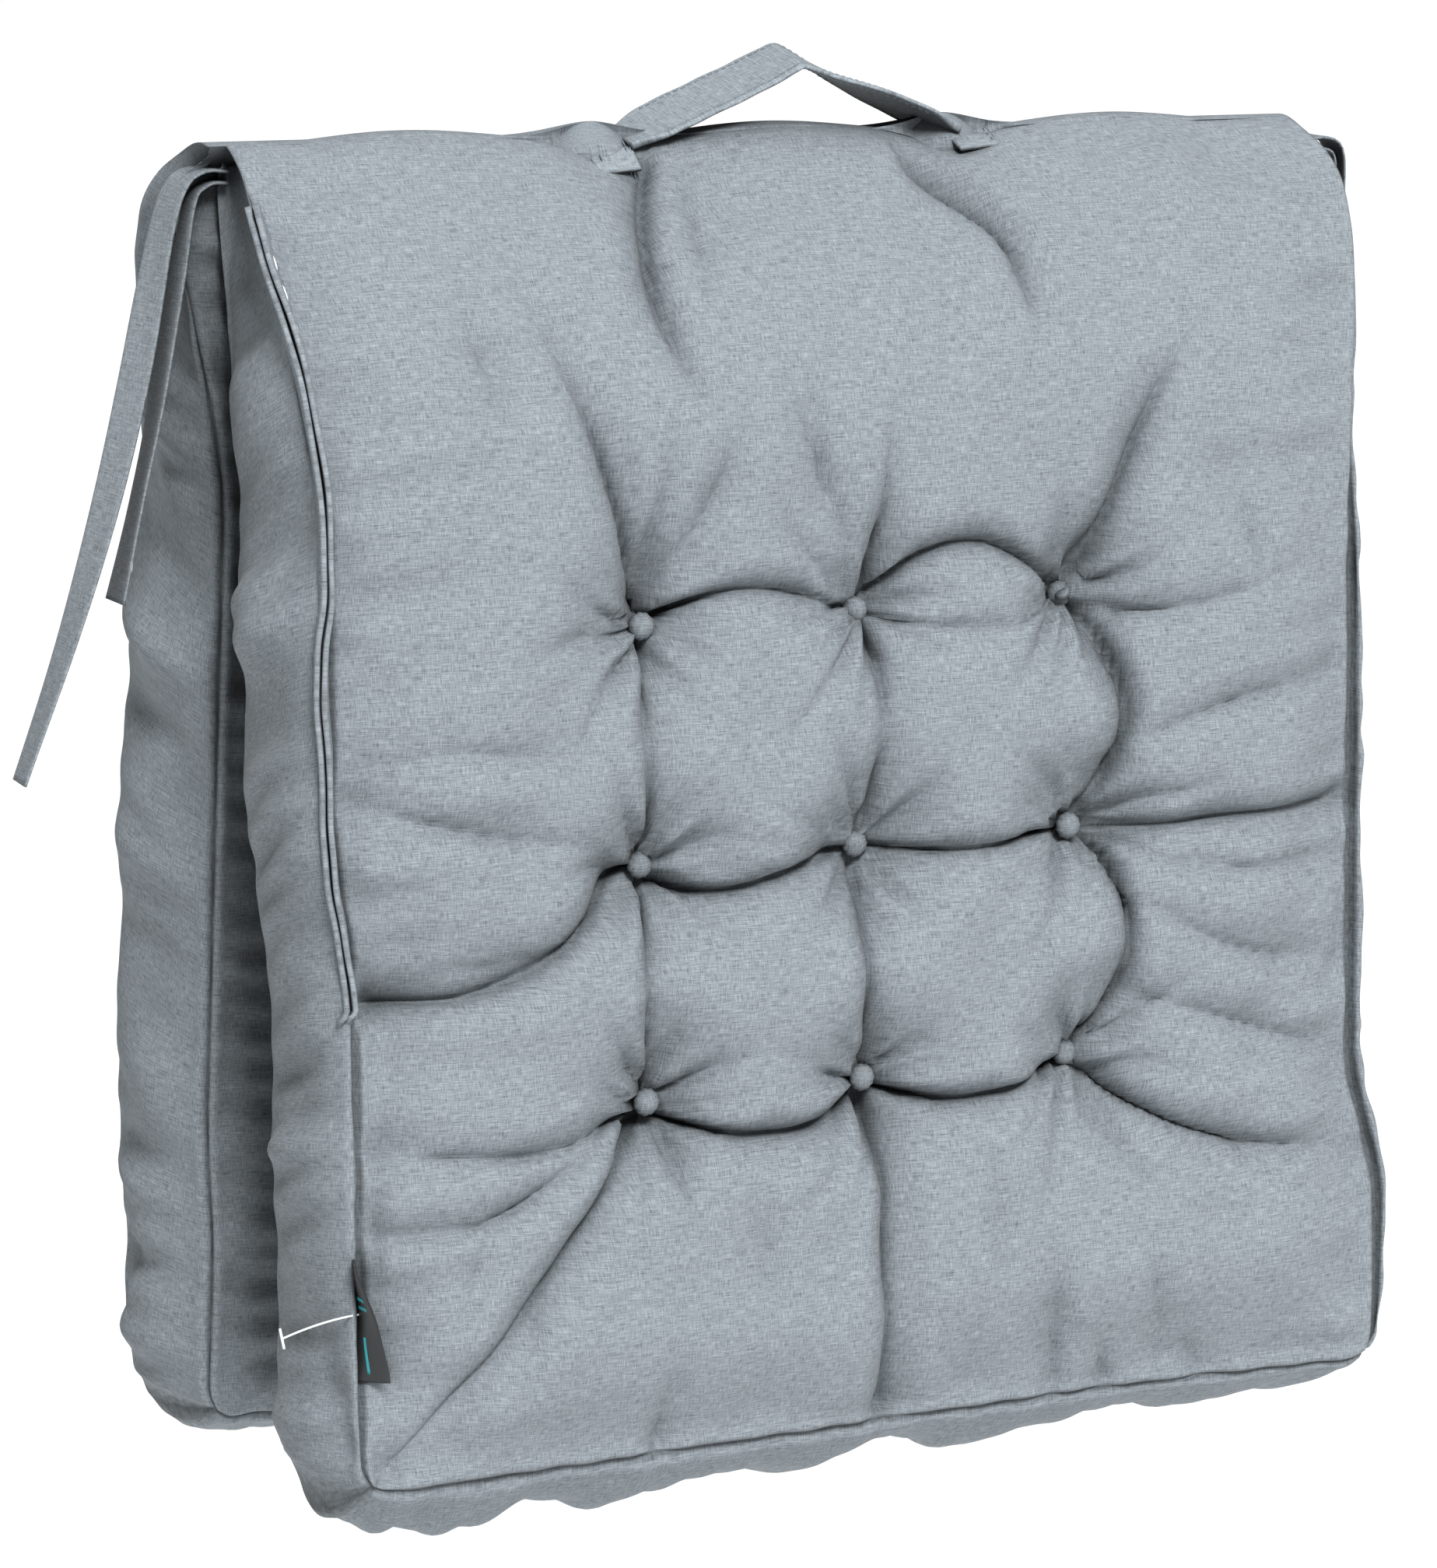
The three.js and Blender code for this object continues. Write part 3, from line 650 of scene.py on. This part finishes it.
def creased(x, down, creases):
    # Every crease is a valley: depth times exp(-(distance / width)^1.2), steeper on its tilted side. The cloth
    # beside it swells, and is drawn sideways over the valley, so its walls stand steep.
    sink, slideX, slideDown = np.zeros_like(x), np.zeros_like(x), np.zeros_like(x)
    for route, depths, width, tilt in creases:
        route = curveThrough(route, 22)
        reach = 5 * width
        near = ((x > route[:, 0].min() - reach) & (x < route[:, 0].max() + reach)
                & (down > route[:, 1].min() - reach) & (down < route[:, 1].max() + reach))
        distance, away, side, along = nearestOn(route, x[near], down[near])
        deep = np.interp(along, [0, 0.5, 1], depths) * relief["press"]
        wide = width * (1 + 0.55 * tilt * side)
        valley = deep * np.exp(-(distance / wide) ** 1.2)
        swell = 0.28 * deep * np.exp(-((distance - 2.2 * wide) / (1.3 * wide)) ** 2)
        pull = np.minimum(0.3 * deep * np.exp(-(distance / (1.1 * wide)) ** 2), 0.6 * distance)
        way = away / np.maximum(distance, 1e-6)[:, None]
        sink[near] = np.maximum(sink[near], valley) + 0.25 * np.minimum(sink[near], valley) - swell * 0.5
        slideX[near] -= way[:, 0] * pull
        slideDown[near] -= way[:, 1] * pull
    return sink, slideX, slideDown


def seamDistance(fa, fs, fc):  # how far a point of the cover is from the nearest seam of its panel
    across, deep = halfWidth, half["seamOut"] - half["innerOut"]
    sides = np.stack([(1 + fa) * across, (1 - fa) * across, fc * deep, (1 - fc) * deep,
                      (1 - fs) * lengthOf(outerCurve)])
    return np.sort(sides, axis=0)[1]


def dentAt(x, along):  # where the handle's ends are sewn down, the crest is drawn in
    return relief["dent"] * np.exp(-((np.abs(x) - 80) / 17) ** 2) * np.exp(-(along / 34) ** 2)


def drape(name, points, normals, fa, fs, fc):
    # Adds to the stuffed cover what its cloth does: creases, gathers round tufts, lumps, drawn-in seams.
    x, out, down = points.T.copy()
    along = fs * lengthOf(outerCurve)
    seed = 3 if name == "seat" else 47
    outer, inner = fc > 0.9999, fc < 0.0001
    side, bottom = np.abs(fa) > 0.9999, fs > 0.9999
    edge = seamDistance(fa, fs, fc)
    fromFold = ease((along - 5) / 26)
    inside = ease(edge / 14)
    move = np.zeros_like(x)
    sink, slideX, slideDown = creased(x, down, seatCreases if name == "seat" else backCreases)
    dip, reach = tuftDips(x, down, relief["tuftWide"])
    nearest = np.hypot(x[:, None] - tuftPlaces[:, 0], down[:, None] - tuftPlaces[:, 1]).argmin(1)
    angle = np.arctan2(down - tuftPlaces[nearest, 1], x - tuftPlaces[nearest, 0])
    ripple = np.cos(9 * angle + 2 * np.sin(2 * angle + nearest) + nearest)
    gather = ripple * np.exp(-((reach - 15) / 11) ** 2)
    flat = ease((reach - 2) / 9)
    drawn = (sink + relief["gather"] * gather) * flat
    move -= np.where(outer, drawn * fromFold * ease(edge / 6 + 0.25), 0)
    gap = np.clip(reach - 6, 0, None)
    bulge = relief["pillow"] * ease(gap / 42) * ease(edge / 55) * ease((along - 40) / 90)
    lumpy = relief["lumps"] * inside * fromFold * flat
    move += np.where(outer, bulge + lumpy * waves(x, down, seed, 88), 0)
    move += np.where(inner, 0.6 * lumpy * waves(x, down, seed + 1, 70), 0)
    move -= np.where(inner, relief["gather"] * gather * flat, 0)
    rows = waves(0.22 * x, down, seed + 2, 26) * np.exp(-np.clip(halfWidth - np.abs(x), 0, None) / 60)
    columns = waves(x, 0.2 * down, seed + 3, 30) * np.exp(-np.clip(half["seamDown"] - down, 0, None) / 55)
    move += np.where(outer | inner, 2.2 * (rows + columns) * inside * fromFold, 0)
    depthPlace = np.sin(math.pi * np.clip(fc, 0, 1))
    lumps = relief["sideLumps"] * waves(0.25 * out, along, seed + 4, 52, 0.35)
    pleats = 2.1 * waves(0.3 * out + 6 * np.sin(along / 23), along, seed + 5, 24, 0.4)
    move += np.where(side, (lumps + pleats) * depthPlace * ease((along - 60) / 60), 0)
    lumps = relief["sideLumps"] * waves(x, 0.3 * out, seed + 6, 58, 0.35)
    lumps = lumps + 1.1 * waves(x, 0.3 * out, seed + 7, 18, 0.3)
    move += np.where(bottom, lumps * depthPlace, 0)
    pucker = 0.8 * waves(x, down, seed + 8, 24, 0.3) * np.exp(-(edge / 9) ** 2)
    groove = relief["seamDeep"] * np.exp(-(edge / relief["seamWide"]) ** 2)
    seam = relief["lip"] * np.exp(-((edge - 3.4) / 2) ** 2) - groove
    move += (seam + pucker) * ease((along - 30) / 30)
    # The crest swells between the handle's ends and on both sides of them.
    move += relief["crestSwell"] * np.cos(x / 80 * math.pi) * np.exp(-(along / 45) ** 2) * (np.abs(x) < 200)
    move -= dentAt(x, along)
    slide = np.where(outer, fromFold * inside, 0)
    points = points + normals * move[:, None]
    left, right = footOf[name]
    stray = np.where(fa > 0, right * ease((down - 370) / 70), -left * ease((down - 240) / 80))
    points[:, 0] += slideX * slide + stray * np.abs(fa) ** 3
    drop = 5 * (name == "seat") * ease((down - 420) / 80) * np.clip(fa, 0, 1) ** 3
    points[:, 2] += slideDown * slide + drop
    return points


def makeCover(name):
    mesh = finishCover(name + "_cover", shaped)
    fa, fs, fc = readPlaces(mesh)
    points = intoRow(drape(name, readPoints(mesh), normalsOf(mesh), fa, fs, fc), name)
    mesh.vertices.foreach_set("co", (points * mm).astype(np.float32).ravel())
    mesh.update()
    mesh.materials.clear()
    mesh.materials.append(cloth)
    corners = np.zeros(len(mesh.loops), np.int32)
    mesh.loops.foreach_get("vertex_index", corners)
    ca, cs, cc = fa[corners], fs[corners] * lengthOf(outerCurve), fc[corners] * half["seamOut"]
    midA, midC = (np.repeat(values.reshape(-1, 4).mean(1), 4) for values in (ca, fc[corners]))
    onSide, onFace = np.abs(midA) > 0.99999, (midC > 0.99999) | (midC < 0.00001)
    u = np.where(onSide, cc, ca * halfWidth)
    v = np.where(onSide | onFace, cs, cc)
    layer = mesh.uv_layers.new(name="weave")
    layer.data.foreach_set("uv", (np.stack([u, v], axis=1) * mm).astype(np.float32).ravel())
    # The seam value for painted shade: near 1 on the seam line, where the cloth's colour is drawn darker as the
    # shade in the groove would make it.
    seamShadeValues = mesh.attributes.new("seam", "FLOAT", "POINT")
    seamShadeValues.data.foreach_set("value", np.exp(-(seamDistance(fa, fs, fc) / 0.9) ** 2).astype(np.float32))
    piece = bpy.data.objects.new(name + "_cover", mesh)
    bpy.context.scene.collection.objects.link(piece)
    return piece


covers = {name: makeCover(name) for name in ("seat", "back")}
for name, cover in covers.items():
    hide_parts(*(f"{name}_{part}" for part in ("outer_panel", "inner_panel", "boxing", "filling")))
    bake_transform(cover)
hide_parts("fold_crest", "fold_filling")
print("covers made")

# Buttons: cloth-covered domes, drawn in round their rims.
button = {"radius": 5.4, "height": 3.6, "sides": 32, "rings": 14, "gather": 0.25, "seat": 1.2}


def makeButton(pieceName, nodeName, place, face, name):
    # A dome of revolution: radius R sin t, height H cos t, then tucked under; its rim is gathered.
    t = np.concatenate([np.linspace(0.12, math.pi / 2, button["rings"] - 3), [1.8, 2.1, 2.4]])
    turn = np.linspace(0, 2 * math.pi, button["sides"], endpoint=False)
    ripple = 1 + button["gather"] / button["radius"] * np.cos(11 * turn) * (t[:, None] > 1.1)
    radius = button["radius"] * np.sin(t)[:, None] * ripple
    height = button["height"] * np.cos(t)[:, None] * np.where(t > math.pi / 2, 0.55, 1)[:, None] + 0 * turn
    x, down = place[0] + radius * np.cos(turn), place[1] + radius * np.sin(turn)
    out = (face + height) if nodeName.startswith(name + "_button") else (face - height)
    points = np.stack([x, out, down], axis=-1).reshape(-1, 3)
    piece = makePiece(pieceName, intoRow(points, name), tubeFaces(len(t), len(turn)), buttonCloth)
    putUv(piece.data, points[:, [0, 2]] + 400)
    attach(piece, name + "_half")
    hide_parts(nodeName)


def tuftFloor(mesh, name, face):  # how far out the cover lies at each tuft
    points = intoHalf(readPoints(mesh), name)
    cover = readPlaces(mesh)[2]
    onFace = np.abs(cover - face) < 0.001
    reach = np.hypot(points[:, 0, None] - tuftPlaces[:, 0], points[:, 2, None] - tuftPlaces[:, 1])
    reach[~onFace] = 1e9
    return points[reach.argmin(0), 1]


for name, cover in covers.items():
    floors, innerFloors = tuftFloor(cover.data, name, 1), tuftFloor(cover.data, name, 0)
    for i, place in enumerate(tuftPlaces):
        seated, innerSeated = floors[i] + button["seat"], innerFloors[i] - button["seat"]
        makeButton(f"{name}_button_cap_{i + 1}", f"{name}_button_{i + 1}", place, seated, name)
        makeButton(f"{name}_inner_cap_{i + 1}", f"{name}_tuft_{i + 1}", place, innerSeated, name)
print("buttons made")

# Closing flange: two turned-in lips that stand off the seat half's left seam.
flange = {"from": 14, "to": 322, "height": 9.5, "thickness": 2.6, "gap": 0.15, "lean": 0.38,
          "steps": 160, "waver": 0.35}


def seamPath(first, last, count):
    # The seat cover's left outer seam, between two distances down, in the half's frame.
    mesh = covers["seat"].data
    fa, fs, fc = readPlaces(mesh)
    points = intoHalf(readPoints(mesh), "seat")[(fa < -0.9999) & (fc > 0.9999)]
    points = points[np.argsort(points[:, 2])]
    points = evenly(points[(points[:, 2] > first) & (points[:, 2] < last)], count)
    padded = np.pad(points, ((3, 3), (0, 0)), "edge")
    smooth = np.stack([np.convolve(column, np.ones(7) / 7, "valid") for column in padded.T], axis=1)
    return smooth


def makeFlange():
    path = seamPath(flange["from"], flange["to"], flange["steps"])
    share = np.linspace(0, 1, len(path))
    rise = np.minimum(ease(share / 0.03), 1 - 0.75 * ease((share - 0.985) / 0.015))
    curl = 0.10 * np.sin(share * 23) + 0.12 * np.sin(share * 9.5 + 1) + 0.9 * ease((share - 0.975) / 0.025)
    heightWay = np.stack([-np.sin(flange["lean"] + curl), np.cos(flange["lean"] + curl), 0 * share], axis=1)
    along = unit(np.gradient(path, axis=0))
    aside = unit(np.cross(heightWay, along))
    section = tapeSection(flange["height"], flange["thickness"], 0.1, 20)
    points, faces = [], []
    for order, sign in enumerate((-1, 1)):
        waver = flange["waver"] * np.sin(share * (31 + 8 * order) + order)
        shift = sign * (flange["thickness"] / 2 + flange["gap"]) + waver * 0.4
        standing = flange["height"] / 2 - 2 + 0.5 * waver
        middle = path + heightWay * standing[:, None] + aside * shift[:, None]
        points.append(carried(middle, heightWay, section, rise))
        faces += tubeFaces(len(path), len(section), order * len(path) * len(section))
    points = np.vstack(points)
    piece = makePiece("closing_flange_lips", intoRow(points, "seat"), faces, cloth)
    putUv(piece.data, np.vstack([flatUv(path, section) + [7 * order, 3] for order in (0, 1)]))
    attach(piece, "seat_half")
    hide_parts("closing_flange")
    return path, heightWay, aside


def stitchRun(starts, ends, radius, sides=6):
    # Stitches: each a short thread whose radius follows a half ellipse from end to end.
    t = np.linspace(0, 1, 6)
    swell = radius * np.sqrt(np.clip(1 - (2 * t - 1) ** 2, 0.04, 1))
    turn = np.linspace(0, 2 * math.pi, sides, endpoint=False)
    way = unit(ends - starts)
    first = unit(np.cross(way, np.array([0.31, 0.17, 0.93])))
    second = np.cross(way, first)
    ring = np.cos(turn)[None, :, None] * first[:, None] + np.sin(turn)[None, :, None] * second[:, None]
    centre = starts[:, None] + t[None, :, None] * (ends - starts)[:, None]
    points = centre[:, :, None] + swell[None, :, None, None] * ring[:, None]
    faces = []
    for i in range(len(starts)):
        faces += tubeFaces(len(t), sides, i * len(t) * sides)
    return points.reshape(-1, 3), faces


twine, _, _ = newMaterial("whiteTwine", (0.78, 0.80, 0.79), 0.6)
thread, _, _ = newMaterial("seamThread", (0.17, 0.21, 0.24), 0.7)

flangePath, flangeHeight, flangeAside = makeFlange()


def makeHandStitches():  # the hand-closed end of the flange: a few white stitches that slant over it
    rows = np.array([12, 18, 25, 31])
    base = flangePath[rows] + flangeHeight[rows] * 3.4 + flangeAside[rows] * 2.6
    tips = flangePath[rows + 3] + flangeHeight[rows + 3] * 4.6 + flangeAside[rows + 3] * 2.7
    points, faces = stitchRun(base, tips, 0.42)
    piece = makePiece("closing_stitches", intoRow(points, "seat"), faces, twine)
    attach(piece, "seat_half")


makeHandStitches()
print("flange made")

# Side label: a folded woven ribbon caught in the left seam, narrow at its top and laid over at its foot.
label = {"from": 405, "to": 458, "width": 14, "thickness": 0.8, "turnTop": -0.5, "open": 0.97, "steps": 40}


def labelSheet(u, w, lift):
    # u runs down the seam and w across the ribbon. Its way out turns from the seam's front to the right.
    path = seamPath(label["from"], label["to"], 80)
    along = np.linspace(0, 1, 80)
    base = np.stack([np.interp(u, along, column) for column in path.T], axis=-1)
    bend = label["turnTop"] + np.arcsin(label["open"] * u) + 0.25 * w * u
    way = np.stack([np.sin(bend), np.cos(bend), 0.10 * u + 0 * bend], axis=-1)
    across = label["width"] * w
    square = np.stack([np.cos(bend), -np.sin(bend), 0 * bend], axis=-1)
    sway = lift + 0.5 * np.sin(3 * u + 1.3) * w + 1.2 * w * u
    return base + way * (across - 1)[..., None] + square * sway[..., None]


def slab(u, w, low, high):  # a closed sheet between two lifts over a grid of u and w
    rows, columns = u.shape
    points = np.concatenate([labelSheet(u, w, low * np.ones_like(u)).reshape(-1, 3),
                             labelSheet(u, w, high * np.ones_like(u)).reshape(-1, 3)])
    index = np.arange(rows * columns).reshape(rows, columns)
    flat = gridQuads(index)
    rim = np.concatenate([index[:-1, 0], index[-1, :-1], index[:0:-1, -1], index[0, :0:-1]])
    after = np.roll(rim, -1)
    count = rows * columns
    walls = np.stack([rim, after, after + count, rim + count], axis=1)
    return points, np.vstack([flat, flat[:, ::-1] + count, walls]).tolist()


def makeLabel():
    ribbon, tree, shader = newMaterial("labelRibbon", (0.012, 0.014, 0.016), 0.42)
    source = node(tree, "UVMap", uv_map="weave").outputs["UV"]
    warp = streaks(tree, source, (3000, 500))
    threads = mathNode(tree, "MULTIPLY", warp, streaks(tree, source, (500, 3000)))
    bump = node(tree, "Bump", Strength=0.4, Distance=0.0001)
    tree.links.new(threads, bump.inputs["Height"])
    tree.links.new(bump.outputs["Normal"], shader.inputs["Normal"])
    ramp = node(tree, "ValToRGB")
    ramp.color_ramp.elements[0].color = (0.008, 0.009, 0.011, 1)
    ramp.color_ramp.elements[1].color = (0.045, 0.048, 0.052, 1)
    tree.links.new(threads, ramp.inputs["Fac"])
    tree.links.new(ramp.outputs["Color"], shader.inputs["Base Color"])
    teal, _, _ = newMaterial("labelTeal", (0.02, 0.30, 0.34), 0.4)
    thick = label["thickness"] / 2
    u, w = np.meshgrid(np.linspace(0, 1, label["steps"]), np.linspace(0, 1, 14), indexing="ij")
    points, faces = slab(u, w, -thick, thick)
    piece = makePiece("side_label_ribbon", intoRow(points, "seat"), faces, ribbon)
    onRibbon = [np.tile(w.ravel(), 2) * label["width"], np.tile(u.ravel(), 2) * 50]
    putUv(piece.data, np.stack(onRibbon, axis=1))
    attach(piece, "label")
    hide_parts("side_label")
    points, faces = [], []
    bars = ((0.30, 0.33, 0.3, 0.75), (0.37, 0.40, 0.3, 0.75), (0.62, 0.92, 0.42, 0.50))
    for first, last, inner, outer in bars:
        u, w = np.meshgrid(np.linspace(first, last, 10), np.linspace(inner, outer, 8), indexing="ij")
        for low, high in ((thick + 0.02, thick + 0.12), (-thick - 0.12, -thick - 0.02)):
            more, sheetFaces = slab(u, w, low, high)
            faces += [[i + sum(map(len, points)) for i in face] for face in sheetFaces]
            points.append(more)
    bars = makePiece("side_label_bars", intoRow(np.vstack(points), "seat"), faces, teal)
    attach(bars, "label")


makeLabel()

# Tag pin: a thin nylon thread through the label, with a bar at its free end.
pin = {"reach": 33, "radius": 0.42, "bar": 7.5, "droop": 5.0, "at": 0.45}


def makePin():
    root = labelSheet(np.array([pin["at"]]), np.array([0.25]), np.array([0.0]))[0]
    share = np.linspace(0, 1, 24)[:, None]
    sag = [0, 0, pin["droop"]] * share**2 + [0, 2.2, 0] * share * (1 - share)
    path = root + share * [-pin["reach"], 1.5, 0] + sag
    circle = tapeSection(2 * pin["radius"], 2 * pin["radius"], 0, 10)
    circle = unit(circle) * pin["radius"]
    nylonThread = carried(path, np.tile([0, 1.0, 0], (len(path), 1)), circle)
    end = path[-1] + np.linspace(-0.5, 0.5, 9)[:, None] * [0.6, 2.2, pin["bar"]]
    bar = carried(end, np.tile([1.0, 0, 0], (9, 1)), circle * 1.25)
    faces = tubeFaces(len(path), 10) + tubeFaces(9, 10, len(nylonThread))
    nylon, _, _ = newMaterial("nylon", (0.80, 0.84, 0.84), 0.25)
    piece = makePiece("tag_pin_thread", intoRow(np.vstack([nylonThread, bar]), "seat"), faces, nylon)
    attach(piece, "label")
    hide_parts("tag_pin")


makePin()
print("label and pin made")

# Carry handle: a hemmed strap bent to a peak, gathered at both necks, its ends sewn down over the crest.
strap = {"width": 27, "thickness": 2.7, "neckWidth": 17, "neckThick": 1.6, "taper": 16, "steps": 150,
         "tilt": 0.28, "line": [[-75, -28.5], [-54, -19.2], [-36, -11.8], [-18, -4.6], [-5, 1.0], [0, 2.6],
                                [5, 1.0], [18, -4.6], [36, -11.8], [54, -19.2], [75, -28.5]]}
sewnEnd = {"inner": 72, "outer": 92, "thickness": 2.3, "half": 13.5, "steps": 30}


def makeStrap():
    flat = curveThrough(strap["line"], strap["steps"])
    fromNeck = np.abs(strap["line"][0][0]) - np.abs(flat[:, 0])
    opened = ease(fromNeck / strap["taper"])
    narrow = strap["neckWidth"] / strap["width"]
    widths = narrow + (1 - narrow) * opened + 0.015 * np.sin(flat[:, 0] * 0.35)
    thick = strap["neckThick"] + (1 - strap["neckThick"]) * opened
    path = np.stack([flat[:, 0], 0.9 * np.sin(flat[:, 0] / 19) * opened, flat[:, 1]], axis=1)
    tilt = 0.06 - strap["tilt"] * np.tanh((flat[:, 0] - 22) / 22)
    widthWay = np.stack([0 * tilt, np.cos(tilt), np.sin(tilt)], axis=1)
    section = tapeSection(strap["width"], strap["thickness"], 0.28, 40)
    points = carried(path, widthWay, section, widths, thick)
    # The strap takes the lighter cloth with painted light.
    piece = makePiece("carry_handle_strap", points, tubeFaces(len(path), len(section)), strapClothPaintedLight)
    putUv(piece.data, flatUv(path, section) + [900, 50])
    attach(piece, "handle")
    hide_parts("carry_handle")
    along = unit(np.gradient(path, axis=0))
    through = np.cross(unit(widthWay), along)
    starts, ends = [], []
    picked = np.arange(14, len(path) - 16, 3)
    for edge in (-1, 1):
        for face in (-1, 1):
            at = edge * (strap["width"] / 2 - 2.3) * widths[:, None] * widthWay
            at = path + at + face * (strap["thickness"] / 2 - 0.25) * thick[:, None] * through
            starts.append(at[picked])
            ends.append(at[picked + 2])
    points, faces = stitchRun(np.vstack(starts), np.vstack(ends), 0.3)
    stitches = makePiece("handle_stitches", points, faces, thread)
    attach(stitches, "handle")


def outerPoints(cover):  # the points of a cover's outer face
    return readPoints(cover.data)[readPlaces(cover.data)[2] > 0.9999]


crestPoints = np.vstack([outerPoints(cover) for cover in covers.values()])
crestPoints = crestPoints[(np.abs(crestPoints[:, 0]) < 110) & (np.abs(crestPoints[:, 1]) < 24)]


def crestHeight(x, y):
    # Height of the covers at a place: the mean of the points near it, weighted exp(-(distance / 2.2)^2).
    squared = (x[:, None] - crestPoints[:, 0]) ** 2 + (y[:, None] - crestPoints[:, 1]) ** 2
    weight = np.exp(-squared / 2.2**2)
    return (weight * crestPoints[:, 2]).sum(1) / weight.sum(1)


def makeSewnEnd(nodeName, side):
    # The strap's end lies over the crest like a saddle: a flat section carried across it.
    y = np.linspace(-sewnEnd["half"], sewnEnd["half"], sewnEnd["steps"])
    middle = side * (sewnEnd["inner"] + sewnEnd["outer"]) / 2
    x = middle + 0.8 * np.sin(y / 5)
    path = np.stack([x, y, crestHeight(x, y) + 0.5 * sewnEnd["thickness"] + 0.3], axis=1)
    section = tapeSection(sewnEnd["outer"] - sewnEnd["inner"], sewnEnd["thickness"], 0.25, 32)
    widthWay = np.tile([1.0, 0, 0], (len(path), 1))
    points = carried(path, widthWay, section)
    # The saddle takes the strap's lighter cloth with painted light.
    piece = makePiece(nodeName + "_saddle", points, tubeFaces(len(path), len(section)), strapClothPaintedLight)
    putUv(piece.data, flatUv(path, section) + [300, 80])
    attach(piece, "crest")
    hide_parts(nodeName)
    y = np.linspace(-sewnEnd["half"] + 1.5, sewnEnd["half"] - 1.5, 9)
    starts, ends = [], []
    for across in (-7.6, -5.8, 7.2):
        x = np.full(len(y), middle + side * across)
        z = crestHeight(x, y) + sewnEnd["thickness"] + 0.25
        line = np.stack([x, y, z], axis=1)
        starts.append(line[:-1] + [0, 0.3, 0])
        ends.append(line[1:] - [0, 0.5, 0])
    points, faces = stitchRun(np.vstack(starts), np.vstack(ends), 0.32)
    stitches = makePiece(nodeName + "_stitches", points, faces, thread)
    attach(stitches, "crest")


makeStrap()
makeSewnEnd("handle_end_left", -1)
makeSewnEnd("handle_end_right", 1)
frame["nodes"]["fold_seam"].data.materials.clear()
frame["nodes"]["fold_seam"].data.materials.append(makeCloth("foldSeamCloth", 0.9, True))
print("handle made")

# Surroundings

studio = {"floor": -1.6, "world": 0.13, "brighter": (0.08, -0.06, 0.05), "sun": 4.5,
          "from": (-0.30, -2.1, 2.35),
          "spread": math.radians(20)}


def makeStudio():
    scene = bpy.context.scene
    scene.view_settings.view_transform = "Standard"
    world = bpy.data.worlds.new("studio")
    world.use_nodes = True
    tree = world.node_tree
    # The sky is white to the eye; as a light it is dim, and brighter towards one side.
    facing = node(tree, "VectorMath", operation="DOT_PRODUCT")
    tree.links.new(node(tree, "TexCoord").outputs["Generated"], facing.inputs[0])
    facing.inputs[1].default_value = studio["brighter"]
    fill = mathNode(tree, "MAXIMUM", mathNode(tree, "ADD", facing.outputs["Value"], studio["world"]), 0.03)
    strength = mathNode(tree, "MAXIMUM", node(tree, "LightPath").outputs["Is Camera Ray"], fill)
    tree.nodes["Background"].inputs["Color"].default_value = (1, 1, 1, 1)
    tree.links.new(strength, tree.nodes["Background"].inputs["Strength"])
    scene.world = world
    light = bpy.data.lights.new("sun", "SUN")
    light.angle = studio["spread"]
    light.energy = studio["sun"]
    lamp = bpy.data.objects.new("sun", light)
    lamp.location = studio["from"]
    lamp.rotation_mode = "QUATERNION"
    lamp.rotation_quaternion = (-Vector(studio["from"])).to_track_quat("-Z", "Y")
    scene.collection.objects.link(lamp)
    corners = np.array([[-1, -1], [1, -1], [1, 1], [-1, 1]]) * 20
    mesh = bpy.data.meshes.new("floor")
    mesh.from_pydata([(x, y, studio["floor"]) for x, y in corners.tolist()], [], [(0, 1, 2, 3)])
    mesh.materials.append(newMaterial("paleFloor", (0.93, 0.93, 0.93), 0.9)[0])
    floor = bpy.data.objects.new("floor", mesh)
    scene.collection.objects.link(floor)


makeStudio()
